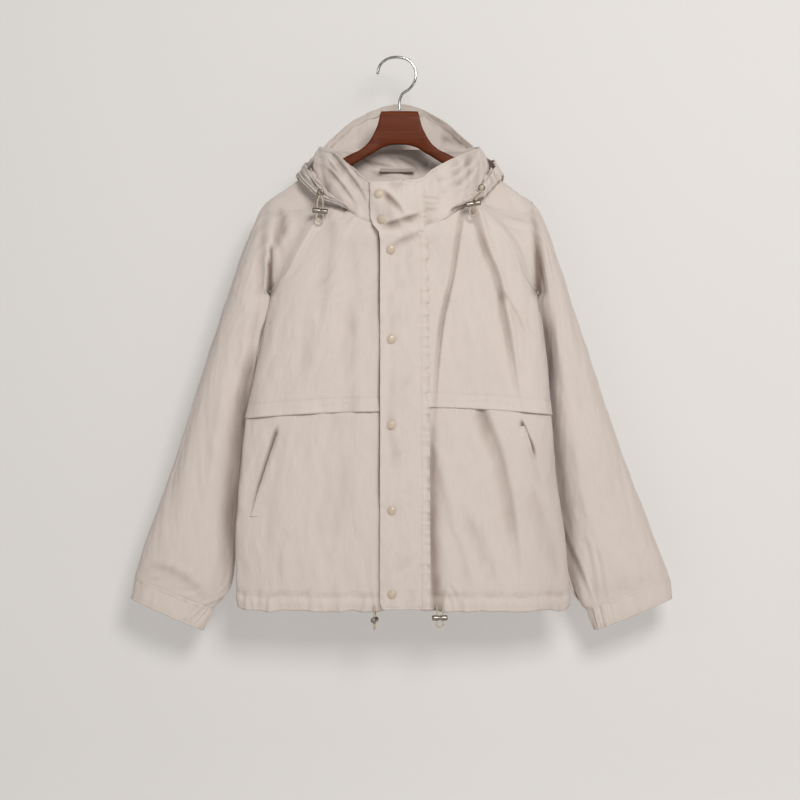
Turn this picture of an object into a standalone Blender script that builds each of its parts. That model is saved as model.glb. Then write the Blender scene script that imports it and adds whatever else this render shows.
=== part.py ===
"""A beige raglan jacket on a wooden hanger.

The jacket is closed and hangs as it would on a rail: hollow cloth shells for the fronts, back,
sleeves, cuffs, collar and hood, with the placket, pocket welts, snaps, cords and cord locks on them.
The origin is the inside top of the hanger's hook. +Z is up, the front faces -Y, and left and right
are as seen from the front. The tables are in millimetres and the objects in metres.
"""

import math

import bmesh
import bpy
import numpy as np
from mathutils import Vector

MM = 0.001


def table(columns, *rows):
    """A table's rows, as one array for each named column."""
    return dict(zip(columns.split(), np.array(rows, float).T))


# Cloth thicknesses and the clearances between sewn pieces.
CLOTH = 1.2
COLLAR_WALL = 2.0
SEAM_GAP = 0.3
LAID_ON = 1.0
HALF_GAP = SEAM_GAP / 2
TURNED_GAP = 0.7
UNDERARM_GAP = 1.6
UNDERARM_SPAN = 4.0

# The body, from the hem up to the underarm: where the sides are, and how far the cloth stands out.
MIDDLE = 8.0
SIDE_DEPTH = -20.0
BODY = table(
    "z left right front back",
    (-908, -263, 279, -52, 40),
    (-840, -266, 278, -55, 42),
    (-786, -267, 272, -57, 44),
    (-728, -263, 264, -59, 45),
    (-639, -254, 255, -61, 46),
    (-563, -244, 249, -63, 47),
    (-494, -229, 244, -66, 47),
    (-416, -214, 232, -69, 47),
    (-387, -208, 226, -71, 47),
)
UNDERARM_Z = -387.0
HEM_Z = -908.0
FLAP_Z = table("side middle edge", (-1, -582, -594), (1, -575, -588))
FLAP_OVERLAP = 14.0
FLAP_LIFT = 3.0
FLAP_LIFT_HEIGHT = 60.0
FLAP_AT_PLACKET = -580.0

# The raglan seams, from the underarm up to the neck, and the depth of the cloth between them.
RAGLAN_FRONT = table(
    "z left right depth middle round",
    (-387, -208, 226, -20, -71, 2.6),
    (-372, -196, 214, -33, -72, 2.1),
    (-350, -181, 203, -41, -74, 1.8),
    (-320, -165, 192, -47, -78, 1.6),
    (-293, -150, 178, -49, -83, 1.5),
    (-262, -131, 152, -48, -79, 1.4),
    (-233, -111, 125, -44, -72, 1.3),
)
RAGLAN_BACK = table(
    "z left right depth middle round",
    (-387, -208, 226, -20, 47, 1.9),
    (-372, -199, 216, 8, 47, 1.8),
    (-340, -180, 198, 30, 47, 1.7),
    (-290, -155, 172, 38, 47, 1.6),
    (-240, -134, 148, 34, 47, 1.4),
    (-196, -116, 126, 22, 45, 1.3),
)
BODY_ROUND = 2.6
BACK_ROUND = 1.9
NECK_FRONT_Z = -286.0
NECK_BACK_Z = -206.0
NECK_FRONT_CURVE = 2.1
NECK_BACK_CURVE = 2.0
NECK_RISE = 53.0
NECK_HALF = 120.0
NECK_CENTRE = np.array((8.0, -22.0, 0.0))

# The sleeves, from the raglan seam to the cuff: each section's outer and inner edge, its middle in
# depth and half its depth.
SLEEVE = table(
    "step outer_z outer_left outer_right inner_z inner_left inner_right mid depth",
    (0, -184, -138, 147, -387, -208, 226, -3, 44),
    (1, -213, -181, 185, -393, -216, 234, 2, 45),
    (2, -241, -222, 225, -406, -219, 237, 6, 46),
    (3, -281, -241, 246, -429, -218, 236, 9, 47),
    (4, -331, -261, 264, -463, -221, 237, 11, 48),
    (5, -445, -299, 301, -534, -235, 244, 13, 48),
    (6, -563, -337, 340, -626, -250, 251, 14, 46),
    (7, -669, -370, 377, -719, -260, 261, 15, 43),
    (8, -776, -409, 418, -824, -270, 276, 15, 38),
    (9, -831, -428, 440, -877, -280, 289, 15, 33),
    (10, -856, -436, 449, -909, -306, 310, 14, 25),
)
SLEEVE_SETTLED = np.array((3.0, 2.0, 3.0))
SLEEVE_ROUND = 2.2
CUFF = table(
    "step outer_z outer_left outer_right inner_z inner_left inner_right mid depth",
    (0, -856.9, -436.4, 449.4, -909.9, -306.4, 310.4, 14, 24.6),
    (1, -891, -443, 454, -944.5, -322, 325, 14, 23.5),
)

# The neck at the shoulders, between the front and back raglan seams.
NECK_SIDE = table("side x y z", (-1, -138, -6, -184), (1, 147, -6, -184))

# The collar's top edge, round from the front to the left, the back and the right.
COLLAR_TOP = table(
    "turn x y z",
    (0, 8, -91, -210),
    (20, -44, -84, -212),
    (35, -75, -63, -186),
    (55, -98, -41, -164),
    (90, -130, 0, -147),
    (135, -95, 32, -145),
    (180, 5, 47, -145),
    (225, 104, 32, -145),
    (270, 134, 0, -147),
    (305, 97, -46, -167),
    (325, 58, -73, -189),
    (340, 38, -87, -206),
    (360, 8, -91, -210),
)
COLLAR_BULGE = 5.0
COLLAR_RISE = 3.0
COLLAR_GAP = 1.0

# The placket, from the top of the collar down to the hem.
PLACKET = table(
    "z left right",
    (-212, -46, 44),
    (-240, -46, 45),
    (-270, -45, 46),
    (-282, -40, 47),
    (-292, -31, 48),
    (-305, -29, 50),
    (-600, -29, 52),
    (-893, -30, 53),
    (-904, -25, 53),
)
PLACKET_THICK = 1.6
PLACKET_LIFT = 2.4
PLACKET_CLOSER = 1.6
NECK_OVERLAP = 6.0
SNAP_PLACES = table(
    "number x z",
    (1, -31, -232),
    (2, -26, -272),
    (3, -12, -321),
    (4, -10.5, -465),
    (5, -10.5, -604),
    (6, -10, -743),
    (7, -9.5, -879),
)
SNAP_RADIUS = 7.2
SNAP_HEIGHT = 3.2
SNAP_CROWN = 1.44

# The pocket welts: where each opening's line starts and ends, and the welt's width.
WELT = table("side top_x top_z low_x low_z", (-1, -196, -616, -241, -754), (1, 206, -606, 249, -744))
WELT_WIDTH = 15.0

# The hood hangs behind the neck as an open bag. Each row is one section through it: where it is
# sewn to the neck, its lowest fold, and its rim.
HOOD = table(
    "turn base_x base_y base_z fold_x fold_y fold_z rim_x rim_y rim_z",
    (0.00, -80, -75, -252, -85, -80, -260, -85, -87, -250),
    (0.06, -109, -55, -229, -121, -62, -243, -118, -72, -228),
    (0.13, -136, -24, -197, -157, -30, -208, -148, -40, -189),
    (0.18, -143, -2, -182, -165, -2, -193, -152, -8, -173),
    (0.25, -132, 26, -186, -161, 40, -214, -150, 46, -165),
    (0.32, -90, 47, -197, -128, 70, -310, -121, 76, -133),
    (0.40, -45, 52, -203, -68, 78, -372, -76, 86, -91),
    (0.50, 5, 53, -205, 5, 82, -392, 3, 90, -63),
    (0.60, 54, 52, -202, 74, 78, -372, 74, 86, -90),
    (0.68, 100, 47, -196, 134, 70, -310, 115, 76, -126),
    (0.75, 141, 26, -185, 169, 40, -214, 150, 46, -160),
    (0.82, 152, -2, -181, 172, -2, -192, 158, -8, -172),
    (0.87, 148, -24, -194, 165, -30, -206, 157, -40, -187),
    (0.94, 128, -58, -222, 134, -64, -238, 131, -74, -223),
    (1.00, 88, -82, -252, 91, -87, -261, 91, -94, -251),
)
HOOD_INNER_AT = 0.5
HOOD_INNER_LEAN = 0.25
HOOD_OUTER_AT = 0.45
HOOD_OUTER_LEAN = 0.9
HOOD_STOPS = np.array([0, 0.25, 0.45, 0.7, 1.0])
CASING_WIDTH = 15.0
CASING_ENDS = (0.28, 0.72)
CASING_PROBE = 0.97
CASING_LIFT = 1.8

# The largest folds of the cloth: a trough along a line, from one end to the other.
FOLDS = table(
    "x1 z1 x2 z2 width depth",
    (127, -270, 164, -380, 17, 7),
    (164, -380, 196, -560, 20, 6),
    (100, -270, 62, -520, 15, 5),
    (146, -600, 186, -790, 19, 5),
    (-132, -290, -140, -440, 26, 4),
    (-84, -610, -104, -800, 24, 3),
)
FOLD_END = 0.1

# The hanger: slices through the wood, from its middle out to one end.
HANGER_MIDDLE = 2.5
HANGER = table(
    "out top bottom half_thick",
    (0, -87, -142, 7),
    (15, -87, -143, 7),
    (30, -87.5, -148, 7),
    (32, -92, -149, 7),
    (35, -106, -151, 7),
    (41, -121, -155, 7.5),
    (50, -137, -160, 8),
    (63, -149.5, -168, 8.5),
    (80, -158, -178, 9),
    (95, -166.5, -187, 9),
    (110, -178, -197, 9.5),
    (140, -197, -217, 10),
    (170, -217, -238, 10),
    (195, -236, -256, 10),
    (210, -249, -266, 9),
    (214, -254, -262, 6),
)
HANGER_CORNER = 2.5
HANGER_CORNER_SHARE = 0.6
HANGER_SHARP = math.radians(40)
HOOK_WIRE = 4.6
HOOK_ROUTE = table(
    "x z",
    (-34, -26),
    (-30, -12),
    (-19, -1.5),
    (0, 2.3),
    (19, -4),
    (29, -20),
    (28, -36),
    (19, -50),
    (8, -58),
    (3, -68),
    (2.5, -86.5),
)

# The hood's cords and cord locks, and those at the hem.
CORD = 2.4
CORD_SPREAD = 4.8
TAIL_RADIUS = 6.0
STRAND_BOW = 0.4
HEM_STRAND_BOW = 0.8
LOCK_LENGTH = 25.0
LOCK_RADIUS = 4.6
CORDS = table(
    "exit_x exit_y exit_z lock_x lock_y lock_z lock_turn tail",
    (-125, -78, -233, -126, -73, -258, -6, 12),
    (135, -82, -226, 121, -93, -248, 10, 14),
    (-38, -49, -910, -38, -49, -921, 78, 9),
    (68, -50, -910, 68, -50, -918, 4, 9),
)
CORD_NAMES = ("hood_left", "hood_right", "hem_left", "hem_right")
EYELET_RADIUS = 4.6
EYELET_WIRE = 1.3
TAPE_Z = -180.0
TAPE_HALF_LENGTH = 29.0
TAPE_HALF_WIDTH = 3.0
TAPE_STAND_OFF = 4.0

# Materials: colour, roughness and metallic value.
FINISHES = {
    "cloth": ((0.62, 0.55, 0.48), 0.8, 0.0),
    "snap": ((0.58, 0.52, 0.39), 0.5, 0.0),
    "cord": ((0.55, 0.47, 0.38), 0.8, 0.0),
    "cord_lock": ((0.50, 0.45, 0.38), 0.45, 0.0),
    "wood": ((0.14, 0.04, 0.02), 0.35, 0.0),
    "chrome": ((0.80, 0.80, 0.80), 0.12, 1.0),
    "eyelet": ((0.18, 0.15, 0.12), 0.4, 1.0),
}

# How finely the cloth is divided.
PANEL_COLUMNS = 10
BACK_COLUMNS = 16
HEM_ROWS = 8
CHEST_ROWS = 6
RAGLAN_ROWS = 8
RAGLAN_CLOSER = 1.3
NECK_STEPS = 5
SLEEVE_ROWS = 21
COLLAR_COLUMNS = 38
COLLAR_ROWS = 3
HOOD_COLUMNS = 30
HOOD_ROWS = 10
PLACKET_COLUMNS = 6
PLACKET_ROWS = 24


def glide(knots, values, at):
    """The smooth curve through a table's values, as a cubic between each two knots."""
    slopes = np.gradient(values, knots)
    at = np.clip(np.asarray(at, float), knots[0], knots[-1])
    i = np.clip(np.searchsorted(knots, at, side="right") - 1, 0, len(knots) - 2)
    span = knots[i + 1] - knots[i]
    t = (at - knots[i]) / span
    rise = values[i + 1] - values[i]
    start = slopes[i] * span
    end = slopes[i + 1] * span
    return values[i] + t * (start + t * (3 * rise - 2 * start - end + t * (start + end - 2 * rise)))


def side_name(side):
    return "left" if side < 0 else "right"


def fold_depth(x, z):
    """How far the large folds push the cloth back at a place on the front."""
    total = np.zeros_like(x)
    for x1, z1, x2, z2, width, depth in zip(*FOLDS.values()):
        run = np.array((x2 - x1, z2 - z1))
        t = np.clip(((x - x1) * run[0] + (z - z1) * run[1]) / (run @ run), 0, 1)
        away = np.hypot(x - x1 - t * run[0], z - z1 - t * run[1])
        fade = np.sin(math.pi * (FOLD_END + (1 - 2 * FOLD_END) * t))
        total = total + depth * np.exp(-((away / width) ** 2)) * fade
    return total


def edge_x(side, z, raglan):
    """Where the side seam, and above the underarm the raglan seam, is at a height."""
    name = side_name(side)
    low = glide(BODY["z"], BODY[name], z)
    high = glide(raglan["z"], raglan[name], z)
    return np.where(z <= UNDERARM_Z, low, high)


def edge_y(z, raglan):
    return np.where(z <= UNDERARM_Z, SIDE_DEPTH, glide(raglan["z"], raglan["depth"], z))


def depth_at(x, z, raglan, body_column, full):
    """The depth of the body's cloth at a place seen from the front; full says how boxy it is."""
    edge = np.where(x < MIDDLE, edge_x(-1, z, raglan), edge_x(1, z, raglan))
    out = np.clip((x - MIDDLE) / (edge - MIDDLE), 0, 1)
    low = glide(BODY["z"], BODY[body_column], z)
    middle = np.where(z <= UNDERARM_Z, low, glide(raglan["z"], raglan["middle"], z))
    round_off = np.where(z <= UNDERARM_Z, full, glide(raglan["z"], raglan["round"], z))
    rim = edge_y(z, raglan)
    return rim + (middle - rim) * (1 - out**full) ** (1 / round_off)


def front_y(x, z):
    return depth_at(x, z, RAGLAN_FRONT, "front", BODY_ROUND) + fold_depth(x, z)


def back_y(x, z):
    return depth_at(x, z, RAGLAN_BACK, "back", BACK_ROUND)


def spread(count):
    """Places from the middle to the side, closer together where the cloth turns round the side."""
    angle = np.linspace(0, math.pi / 2, count + 1)
    return np.sin(angle) ** (2 / BODY_ROUND)


def panel_rows(middle_z, edge_z, side, raglan, curve, columns):
    """A half panel's places: rows between the middle and the seam, which bend towards the neck."""
    out = spread(columns)
    x = MIDDLE + (edge_x(side, edge_z, raglan)[:, None] - MIDDLE) * out
    z = middle_z[:, None] + (edge_z - middle_z)[:, None] * out**curve
    return x, z


def pull_in(grid, rows=(), columns=(), by=HALF_GAP):
    """Moves the named outer rows and columns of a grid in, to leave a seam's gap."""
    for row in rows:
        step = grid[1 if row == 0 else -2] - grid[row]
        grid[row] += by * step / np.linalg.norm(step, axis=1, keepdims=True)
    for column in columns:
        step = grid[:, 1 if column == 0 else -2] - grid[:, column]
        grid[:, column] += by * step / np.linalg.norm(step, axis=1, keepdims=True)
    return grid


def grid_normals(grid):
    """Unit normals of a grid of points, from the steps along its rows and columns."""
    normal = np.cross(np.gradient(grid, axis=1), np.gradient(grid, axis=0))
    return normal / np.linalg.norm(normal, axis=2, keepdims=True)


def seamed(grid, side):
    """A front panel with its gaps: a narrow one in the middle, a wider one where the side turns."""
    middle, edge = (-1, 0) if side < 0 else (0, -1)
    pull_in(grid, rows=(-1,), columns=(middle,))
    return pull_in(grid, columns=(edge,), by=TURNED_GAP)


def flap_heights(side):
    row = 0 if side < 0 else 1
    return FLAP_Z["middle"][row], FLAP_Z["edge"][row]


def raglan_heights(raglan):
    """The heights of the raglan seam's points, closer together at the underarm."""
    return UNDERARM_Z + (raglan["z"][-1] - UNDERARM_Z) * np.linspace(0, 1, RAGLAN_ROWS + 1) ** RAGLAN_CLOSER


def chest_grid(side):
    """The upper front: from the flap's edge up to the raglan seam and the neck."""
    flap_middle, flap_edge = flap_heights(side)
    low = np.linspace(flap_edge, UNDERARM_Z, CHEST_ROWS + 1)[:-1]
    edge_z = np.concatenate([low, raglan_heights(RAGLAN_FRONT)])
    share = (edge_z - flap_edge) / (edge_z[-1] - flap_edge)
    middle_z = flap_middle + (NECK_FRONT_Z - flap_middle) * share
    x, z = panel_rows(middle_z, edge_z, side, RAGLAN_FRONT, NECK_FRONT_CURVE, PANEL_COLUMNS)
    grid = np.stack([x, front_y(x, z), z], axis=2)
    return grid if side > 0 else grid[:, ::-1]


def upper_front(side):
    grid = chest_grid(side)
    above = grid[:, :, 2] - grid[0, :, 2]
    lift = FLAP_LIFT * np.clip(1 - above / FLAP_LIFT_HEIGHT, 0, 1) ** 2
    grid = grid + grid_normals(grid) * lift[:, :, None]
    return seamed(grid, side)


def lower_front(side):
    flap_middle, flap_edge = flap_heights(side)
    share = np.linspace(0, 1, HEM_ROWS + 1)
    middle_z = HEM_Z + (flap_middle + FLAP_OVERLAP - HEM_Z) * share
    edge_z = HEM_Z + (flap_edge + FLAP_OVERLAP - HEM_Z) * share
    x, z = panel_rows(middle_z, edge_z, side, RAGLAN_FRONT, NECK_FRONT_CURVE, PANEL_COLUMNS)
    grid = np.stack([x, front_y(x, z), z], axis=2)
    grid = grid if side > 0 else grid[:, ::-1]
    return seamed(grid, side)


def back_panel():
    low = np.linspace(HEM_Z, UNDERARM_Z, HEM_ROWS + CHEST_ROWS + 1)[:-1]
    edge_z = np.concatenate([low, raglan_heights(RAGLAN_BACK)])
    share = (edge_z - HEM_Z) / (edge_z[-1] - HEM_Z)
    middle_z = HEM_Z + (NECK_BACK_Z - HEM_Z) * share
    halves = []
    for side in (1, -1):
        x, z = panel_rows(middle_z, edge_z, side, RAGLAN_BACK, NECK_BACK_CURVE, BACK_COLUMNS // 2)
        halves.append(np.stack([x, back_y(x, z), z], axis=2))
    grid = np.concatenate([halves[0][:, :0:-1], halves[1]], axis=1)
    pull_in(grid, rows=(-1,))
    return pull_in(grid, columns=(0, -1), by=TURNED_GAP)


def seam_loop(side):
    """The armhole: down the front raglan seam, up the back one, and over the shoulder at the neck."""
    front_z = raglan_heights(RAGLAN_FRONT)[::-1]
    back_z = raglan_heights(RAGLAN_BACK)[1:]
    front = np.stack([edge_x(side, front_z, RAGLAN_FRONT), edge_y(front_z, RAGLAN_FRONT), front_z], axis=1)
    back = np.stack([edge_x(side, back_z, RAGLAN_BACK), edge_y(back_z, RAGLAN_BACK), back_z], axis=1)
    top = np.array([column[0 if side < 0 else 1] for column in NECK_SIDE.values()][1:])
    knots = np.array([0.0, 0.5, 1.0])
    stops = np.stack([back[-1], top, front[0]])
    over = np.linspace(0, 1, NECK_STEPS + 1)[1:-1]
    neck = np.stack([glide(knots, stops[:, axis], over) for axis in range(3)], axis=1)
    return np.concatenate([front, back, neck])


def section(shape, side, step, count):
    """One section of a sleeve or cuff: a flattened ring between its outer and inner edge."""
    name = side_name(side)
    angle = math.pi + (np.arange(count) - RAGLAN_ROWS) * 2 * math.pi / count
    across = np.sign(np.cos(angle)) * np.abs(np.cos(angle)) ** (2 / SLEEVE_ROUND)
    through = np.sign(np.sin(angle)) * np.abs(np.sin(angle)) ** (2 / SLEEVE_ROUND)
    outer = [glide(shape["step"], shape[column], step) for column in ("outer_" + name, "outer_z")]
    inner = [glide(shape["step"], shape[column], step) for column in ("inner_" + name, "inner_z")]
    x = (outer[0] + inner[0]) / 2 + (outer[0] - inner[0]) / 2 * across
    z = (outer[1] + inner[1]) / 2 + (outer[1] - inner[1]) / 2 * across
    y = glide(shape["step"], shape["mid"], step) - glide(shape["step"], shape["depth"], step) * through
    return np.stack([x, y, z], axis=1)


def sleeve_grid(side):
    loop = seam_loop(side)
    first = section(SLEEVE, side, 0, len(loop))
    rows = []
    for step in np.linspace(0, SLEEVE["step"][-1], SLEEVE_ROWS):
        settled = np.clip(step / SLEEVE_SETTLED, 0, 1)
        share = settled * settled * (3 - 2 * settled)
        rows.append(section(SLEEVE, side, step, len(loop)) + (loop - first) * (1 - share))
    grid = np.stack(rows)
    return grid if side > 0 else grid[:, ::-1]


def sleeve(side):
    grid = sleeve_grid(side)
    columns = np.arange(grid.shape[1]) if side > 0 else np.arange(grid.shape[1])[::-1]
    low = np.exp(-(((columns - RAGLAN_ROWS) / UNDERARM_SPAN) ** 2))
    return pull_in(grid, rows=(0,), by=(TURNED_GAP + UNDERARM_GAP * low)[:, None])


def cuff(side):
    count = 2 * RAGLAN_ROWS + NECK_STEPS
    rings = [section(CUFF, side, step, count) for step in np.linspace(0, 1, 3)]
    grid = np.stack(rings)
    return grid if side > 0 else grid[:, ::-1]


def neck_line():
    """The neck seam, once round from the front middle by the left, the back and the right."""
    left = chest_grid(-1)[-1][::-1]
    right = chest_grid(1)[-1][::-1]
    back = back_panel()[-1]
    loops = [seam_loop(-1)[-NECK_STEPS + 1 :][::-1], seam_loop(1)[-NECK_STEPS + 1 :]]
    return np.concatenate([left, loops[0], back[::-1], loops[1], right])


def even_steps(line, count):
    """Points at even steps along a line."""
    lengths = np.linalg.norm(np.diff(line, axis=0), axis=1)
    along = np.concatenate([[0], np.cumsum(lengths)])
    at = np.linspace(0, along[-1], count)
    return np.stack([np.interp(at, along, line[:, axis]) for axis in range(3)], axis=1)


def turn_about_neck(points):
    """The angle of each point about the neck, from the front by the left."""
    turn = np.degrees(np.arctan2(NECK_CENTRE[0] - points[:, 0], NECK_CENTRE[1] - points[:, 1]))
    turn = np.where(turn < 0, turn + 360, turn)
    turn[0] = 0
    turn[-1] = 360
    return turn


def collar_grid():
    base = even_steps(neck_line(), COLLAR_COLUMNS + 1)
    turn = turn_about_neck(base)
    top = np.stack([glide(COLLAR_TOP["turn"], COLLAR_TOP[axis], turn) for axis in "xyz"], axis=1)
    base = base + (0, 0, COLLAR_RISE)
    outward = base - NECK_CENTRE
    outward[:, 2] = 0
    outward /= np.linalg.norm(outward, axis=1, keepdims=True)
    share = np.linspace(0, 1, COLLAR_ROWS + 1)[:, None, None]
    bulge = COLLAR_BULGE * np.sin(math.pi * share) * outward
    return base + (top - base) * share + bulge


def collar():
    return pull_in(collar_grid(), columns=(0, -1), by=COLLAR_GAP)[:, ::-1]


def collar_front_y(x, z):
    """The depth of the collar's front, between the neck seam and the collar's top edge."""
    grid = collar_grid()
    near = COLLAR_COLUMNS // 4
    front = np.concatenate([grid[:, near:0:-1], grid[:, :-near:-1]], axis=1)
    rows_y = np.stack([np.interp(x, row[:, 0], row[:, 1]) for row in front])
    rows_z = np.stack([np.interp(x, row[:, 0], row[:, 2]) for row in front])
    share = (np.clip(z, rows_z[0], rows_z[-1]) - rows_z[0]) / (rows_z[-1] - rows_z[0]) * COLLAR_ROWS
    rows = np.arange(COLLAR_ROWS + 1).reshape(-1, *[1] * x.ndim)
    return (rows_y * np.clip(1 - np.abs(share - rows), 0, 1)).sum(axis=0)


def placket_grid():
    share = 1 - np.linspace(1, 0, PLACKET_ROWS + 1) ** PLACKET_CLOSER
    z = PLACKET["z"][-1] + (PLACKET["z"][0] - PLACKET["z"][-1]) * share
    left = np.interp(z, PLACKET["z"][::-1], PLACKET["left"][::-1])
    right = np.interp(z, PLACKET["z"][::-1], PLACKET["right"][::-1])
    across = np.linspace(0, 1, PLACKET_COLUMNS + 1)
    x = left[:, None] + (right - left)[:, None] * across
    z = np.repeat(z[:, None], PLACKET_COLUMNS + 1, axis=1)
    neck_z = NECK_FRONT_Z + NECK_RISE * (np.abs(x - MIDDLE) / NECK_HALF) ** NECK_FRONT_CURVE
    body = front_y(x, np.minimum(z, neck_z))
    y = np.where(z > neck_z - NECK_OVERLAP, np.minimum(collar_front_y(x, z), body), body)
    flap = FLAP_LIFT * np.exp(-(((z - FLAP_AT_PLACKET) / FLAP_LIFT_HEIGHT) ** 2))
    return np.stack([x, y - PLACKET_LIFT - PLACKET_THICK - flap, z], axis=2)


def pocket_welt(side):
    row = 0 if side < 0 else 1
    top = np.array((WELT["top_x"][row], WELT["top_z"][row]))
    low = np.array((WELT["low_x"][row], WELT["low_z"][row]))
    along = np.linspace(0, 1, 7)[:, None]
    across = np.linspace(0, 1, 3)
    line = low + (top - low) * along
    x = line[:, :1] - side * WELT_WIDTH * (across if side < 0 else across[::-1])
    z = np.repeat(line[:, 1:], 3, axis=1)
    grid = np.stack([x, front_y(x, z), z], axis=2)
    return grid + grid_normals(grid) * (LAID_ON + CLOTH)


def hood_section(turn, along):
    """One place on the hood: down from the neck, round its lowest fold and up to its rim."""
    base, fold, rim = [
        np.array([glide(HOOD["turn"], HOOD[part + axis], turn) for axis in "xyz"])
        for part in ("base_", "fold_", "rim_")
    ]
    inner = base + (fold - base) * HOOD_INNER_AT
    inner[1] = base[1] + (fold[1] - base[1]) * HOOD_INNER_LEAN
    outer = fold + (rim - fold) * HOOD_OUTER_AT
    outer[1] = fold[1] + (rim[1] - fold[1]) * HOOD_OUTER_LEAN
    stops = np.stack([base, inner, fold, outer, rim])
    return np.stack([glide(HOOD_STOPS, stops[:, axis], along) for axis in range(3)], axis=-1)


def hood_grid(turns, along):
    return np.stack([hood_section(turn, along) for turn in turns], axis=1)


def hood():
    return hood_grid(np.linspace(1, 0, HOOD_COLUMNS + 1), np.linspace(0, 1, HOOD_ROWS + 1))


def hood_casing():
    """The band along the rim's inside, where the hood's cord runs."""
    strips = []
    for turn in np.linspace(CASING_ENDS[0], CASING_ENDS[1], HOOD_COLUMNS // 2 + 1):
        near, rim = hood_section(turn, np.array([CASING_PROBE, 1.0]))
        width = (1 - CASING_PROBE) * CASING_WIDTH / np.linalg.norm(rim - near)
        strips.append(hood_section(turn, np.linspace(1 - width, 1, 3)))
    grid = np.stack(strips, axis=1)
    return grid + grid_normals(grid) * (CASING_LIFT + 2 * CLOTH)


def neck_tape():
    """The hanging loop, a short tape on the inside of the collar's back."""
    x = np.linspace(-TAPE_HALF_LENGTH, TAPE_HALF_LENGTH, 5)
    stand_off = TAPE_STAND_OFF * np.cos(x / TAPE_HALF_LENGTH * math.pi / 2)
    z = (TAPE_Z - TAPE_HALF_WIDTH, TAPE_Z + TAPE_HALF_WIDTH)
    back = glide(COLLAR_TOP["turn"], COLLAR_TOP["y"], 180 - x)
    y = back - COLLAR_WALL - LAID_ON - CLOTH - stand_off
    return np.stack([np.stack([x, y, np.full_like(x, height)], axis=1) for height in z])


def finish(name):
    """A plain material from the table of finishes."""
    material = bpy.data.materials.get(name)
    if material is None:
        colour, rough, metal = FINISHES[name]
        material = bpy.data.materials.new(name)
        material.use_nodes = True
        shader = material.node_tree.nodes["Principled BSDF"]
        shader.inputs["Base Color"].default_value = (*colour, 1)
        shader.inputs["Roughness"].default_value = rough
        shader.inputs["Metallic"].default_value = metal
    return material


def add_object(name, data, finish_name):
    made = bpy.data.objects.new(name, data)
    made.data.materials.append(finish(finish_name))
    PARTS.objects.link(made)
    return made


def cloth(name, grid, closed=False, thick=CLOTH):
    """A cloth shell on a grid of points, with its thickness on the inside."""
    rows, columns = grid.shape[:2]
    mesh = bmesh.new()
    points = [[mesh.verts.new(Vector(point) * MM) for point in row] for row in grid]
    for i in range(rows - 1):
        for j in range(columns if closed else columns - 1):
            k = (j + 1) % columns
            mesh.faces.new((points[i][j], points[i][k], points[i + 1][k], points[i + 1][j]))
    data = bpy.data.meshes.new(name)
    mesh.to_mesh(data)
    mesh.free()
    data.shade_smooth()
    made = add_object(name, data, "cloth")
    wall = made.modifiers.new("wall", "SOLIDIFY")
    wall.thickness = thick * MM
    wall.offset = -1
    return made


def wire(name, route, diameter, finish_name):
    """A round wire or cord through the points of a route."""
    data = bpy.data.curves.new(name, "CURVE")
    data.dimensions = "3D"
    data.bevel_depth = diameter * MM / 2
    data.bevel_resolution = 2
    data.use_fill_caps = True
    line = data.splines.new("POLY")
    line.points.add(len(route) - 1)
    for point, place in zip(line.points, route):
        point.co = (*(Vector(place) * MM), 1)
    return add_object(name, data, finish_name)


def turned(name, profile, finish_name, steps):
    """A turned piece: a profile of radius and height, spun about Y."""
    mesh = bmesh.new()
    points = [mesh.verts.new(Vector((radius, height, 0)) * MM) for radius, height in profile]
    for first, second in zip(points, points[1:]):
        mesh.edges.new((first, second))
    data = bpy.data.meshes.new(name)
    mesh.to_mesh(data)
    mesh.free()
    made = add_object(name, data, finish_name)
    spin = made.modifiers.new("spin", "SCREW")
    spin.axis = "Y"
    spin.steps = steps
    spin.render_steps = steps
    spin.use_merge_vertices = True
    spin.merge_threshold = 0.00005
    spin.use_normal_calculate = True
    return made


def smooth_route(stops, count):
    """A smooth curve through a route's points."""
    stops = np.array(stops, float)
    knots = np.concatenate([[0], np.cumsum(np.linalg.norm(np.diff(stops, axis=0), axis=1))])
    at = np.linspace(0, knots[-1], count)
    return np.stack([glide(knots, stops[:, axis], at) for axis in range(3)], axis=1)


def hanger_wood():
    """The hanger: rounded slices along its length, joined into one solid."""
    out = np.concatenate([-HANGER["out"][:0:-1], HANGER["out"]])
    slices = []
    for place in out:
        columns = (HANGER["top"], HANGER["bottom"], HANGER["half_thick"])
        top, bottom, half = [np.interp(abs(place), HANGER["out"], column) for column in columns]
        corner = min(HANGER_CORNER, half * HANGER_CORNER_SHARE)
        ring = []
        for y_sign, z_end, z_sign in ((-1, bottom, 1), (1, bottom, 1), (1, top, -1), (-1, top, -1)):
            first = (y_sign * half, z_end + z_sign * corner)
            second = (y_sign * (half - corner), z_end)
            ring += [first, second] if y_sign == -z_sign else [second, first]
        slices.append([(HANGER_MIDDLE + place, y, z) for y, z in ring])
    mesh = bmesh.new()
    rings = [[mesh.verts.new(Vector(point) * MM) for point in ring] for ring in slices]
    for first, second in zip(rings, rings[1:]):
        for j in range(len(first)):
            k = (j + 1) % len(first)
            mesh.faces.new((first[j], first[k], second[k], second[j]))
    mesh.faces.new(rings[0])
    mesh.faces.new(rings[-1])
    bmesh.ops.recalc_face_normals(mesh, faces=mesh.faces)
    data = bpy.data.meshes.new("hanger_wood")
    mesh.to_mesh(data)
    mesh.free()
    data.shade_smooth()
    data.set_sharp_from_angle(angle=HANGER_SHARP)
    return add_object("hanger_wood", data, "wood")


def hanger_hook():
    stops = [(x, 0, z) for x, z in zip(HOOK_ROUTE["x"], HOOK_ROUTE["z"])]
    return wire("hanger_hook", smooth_route(stops, 40), HOOK_WIRE, "chrome")


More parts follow.
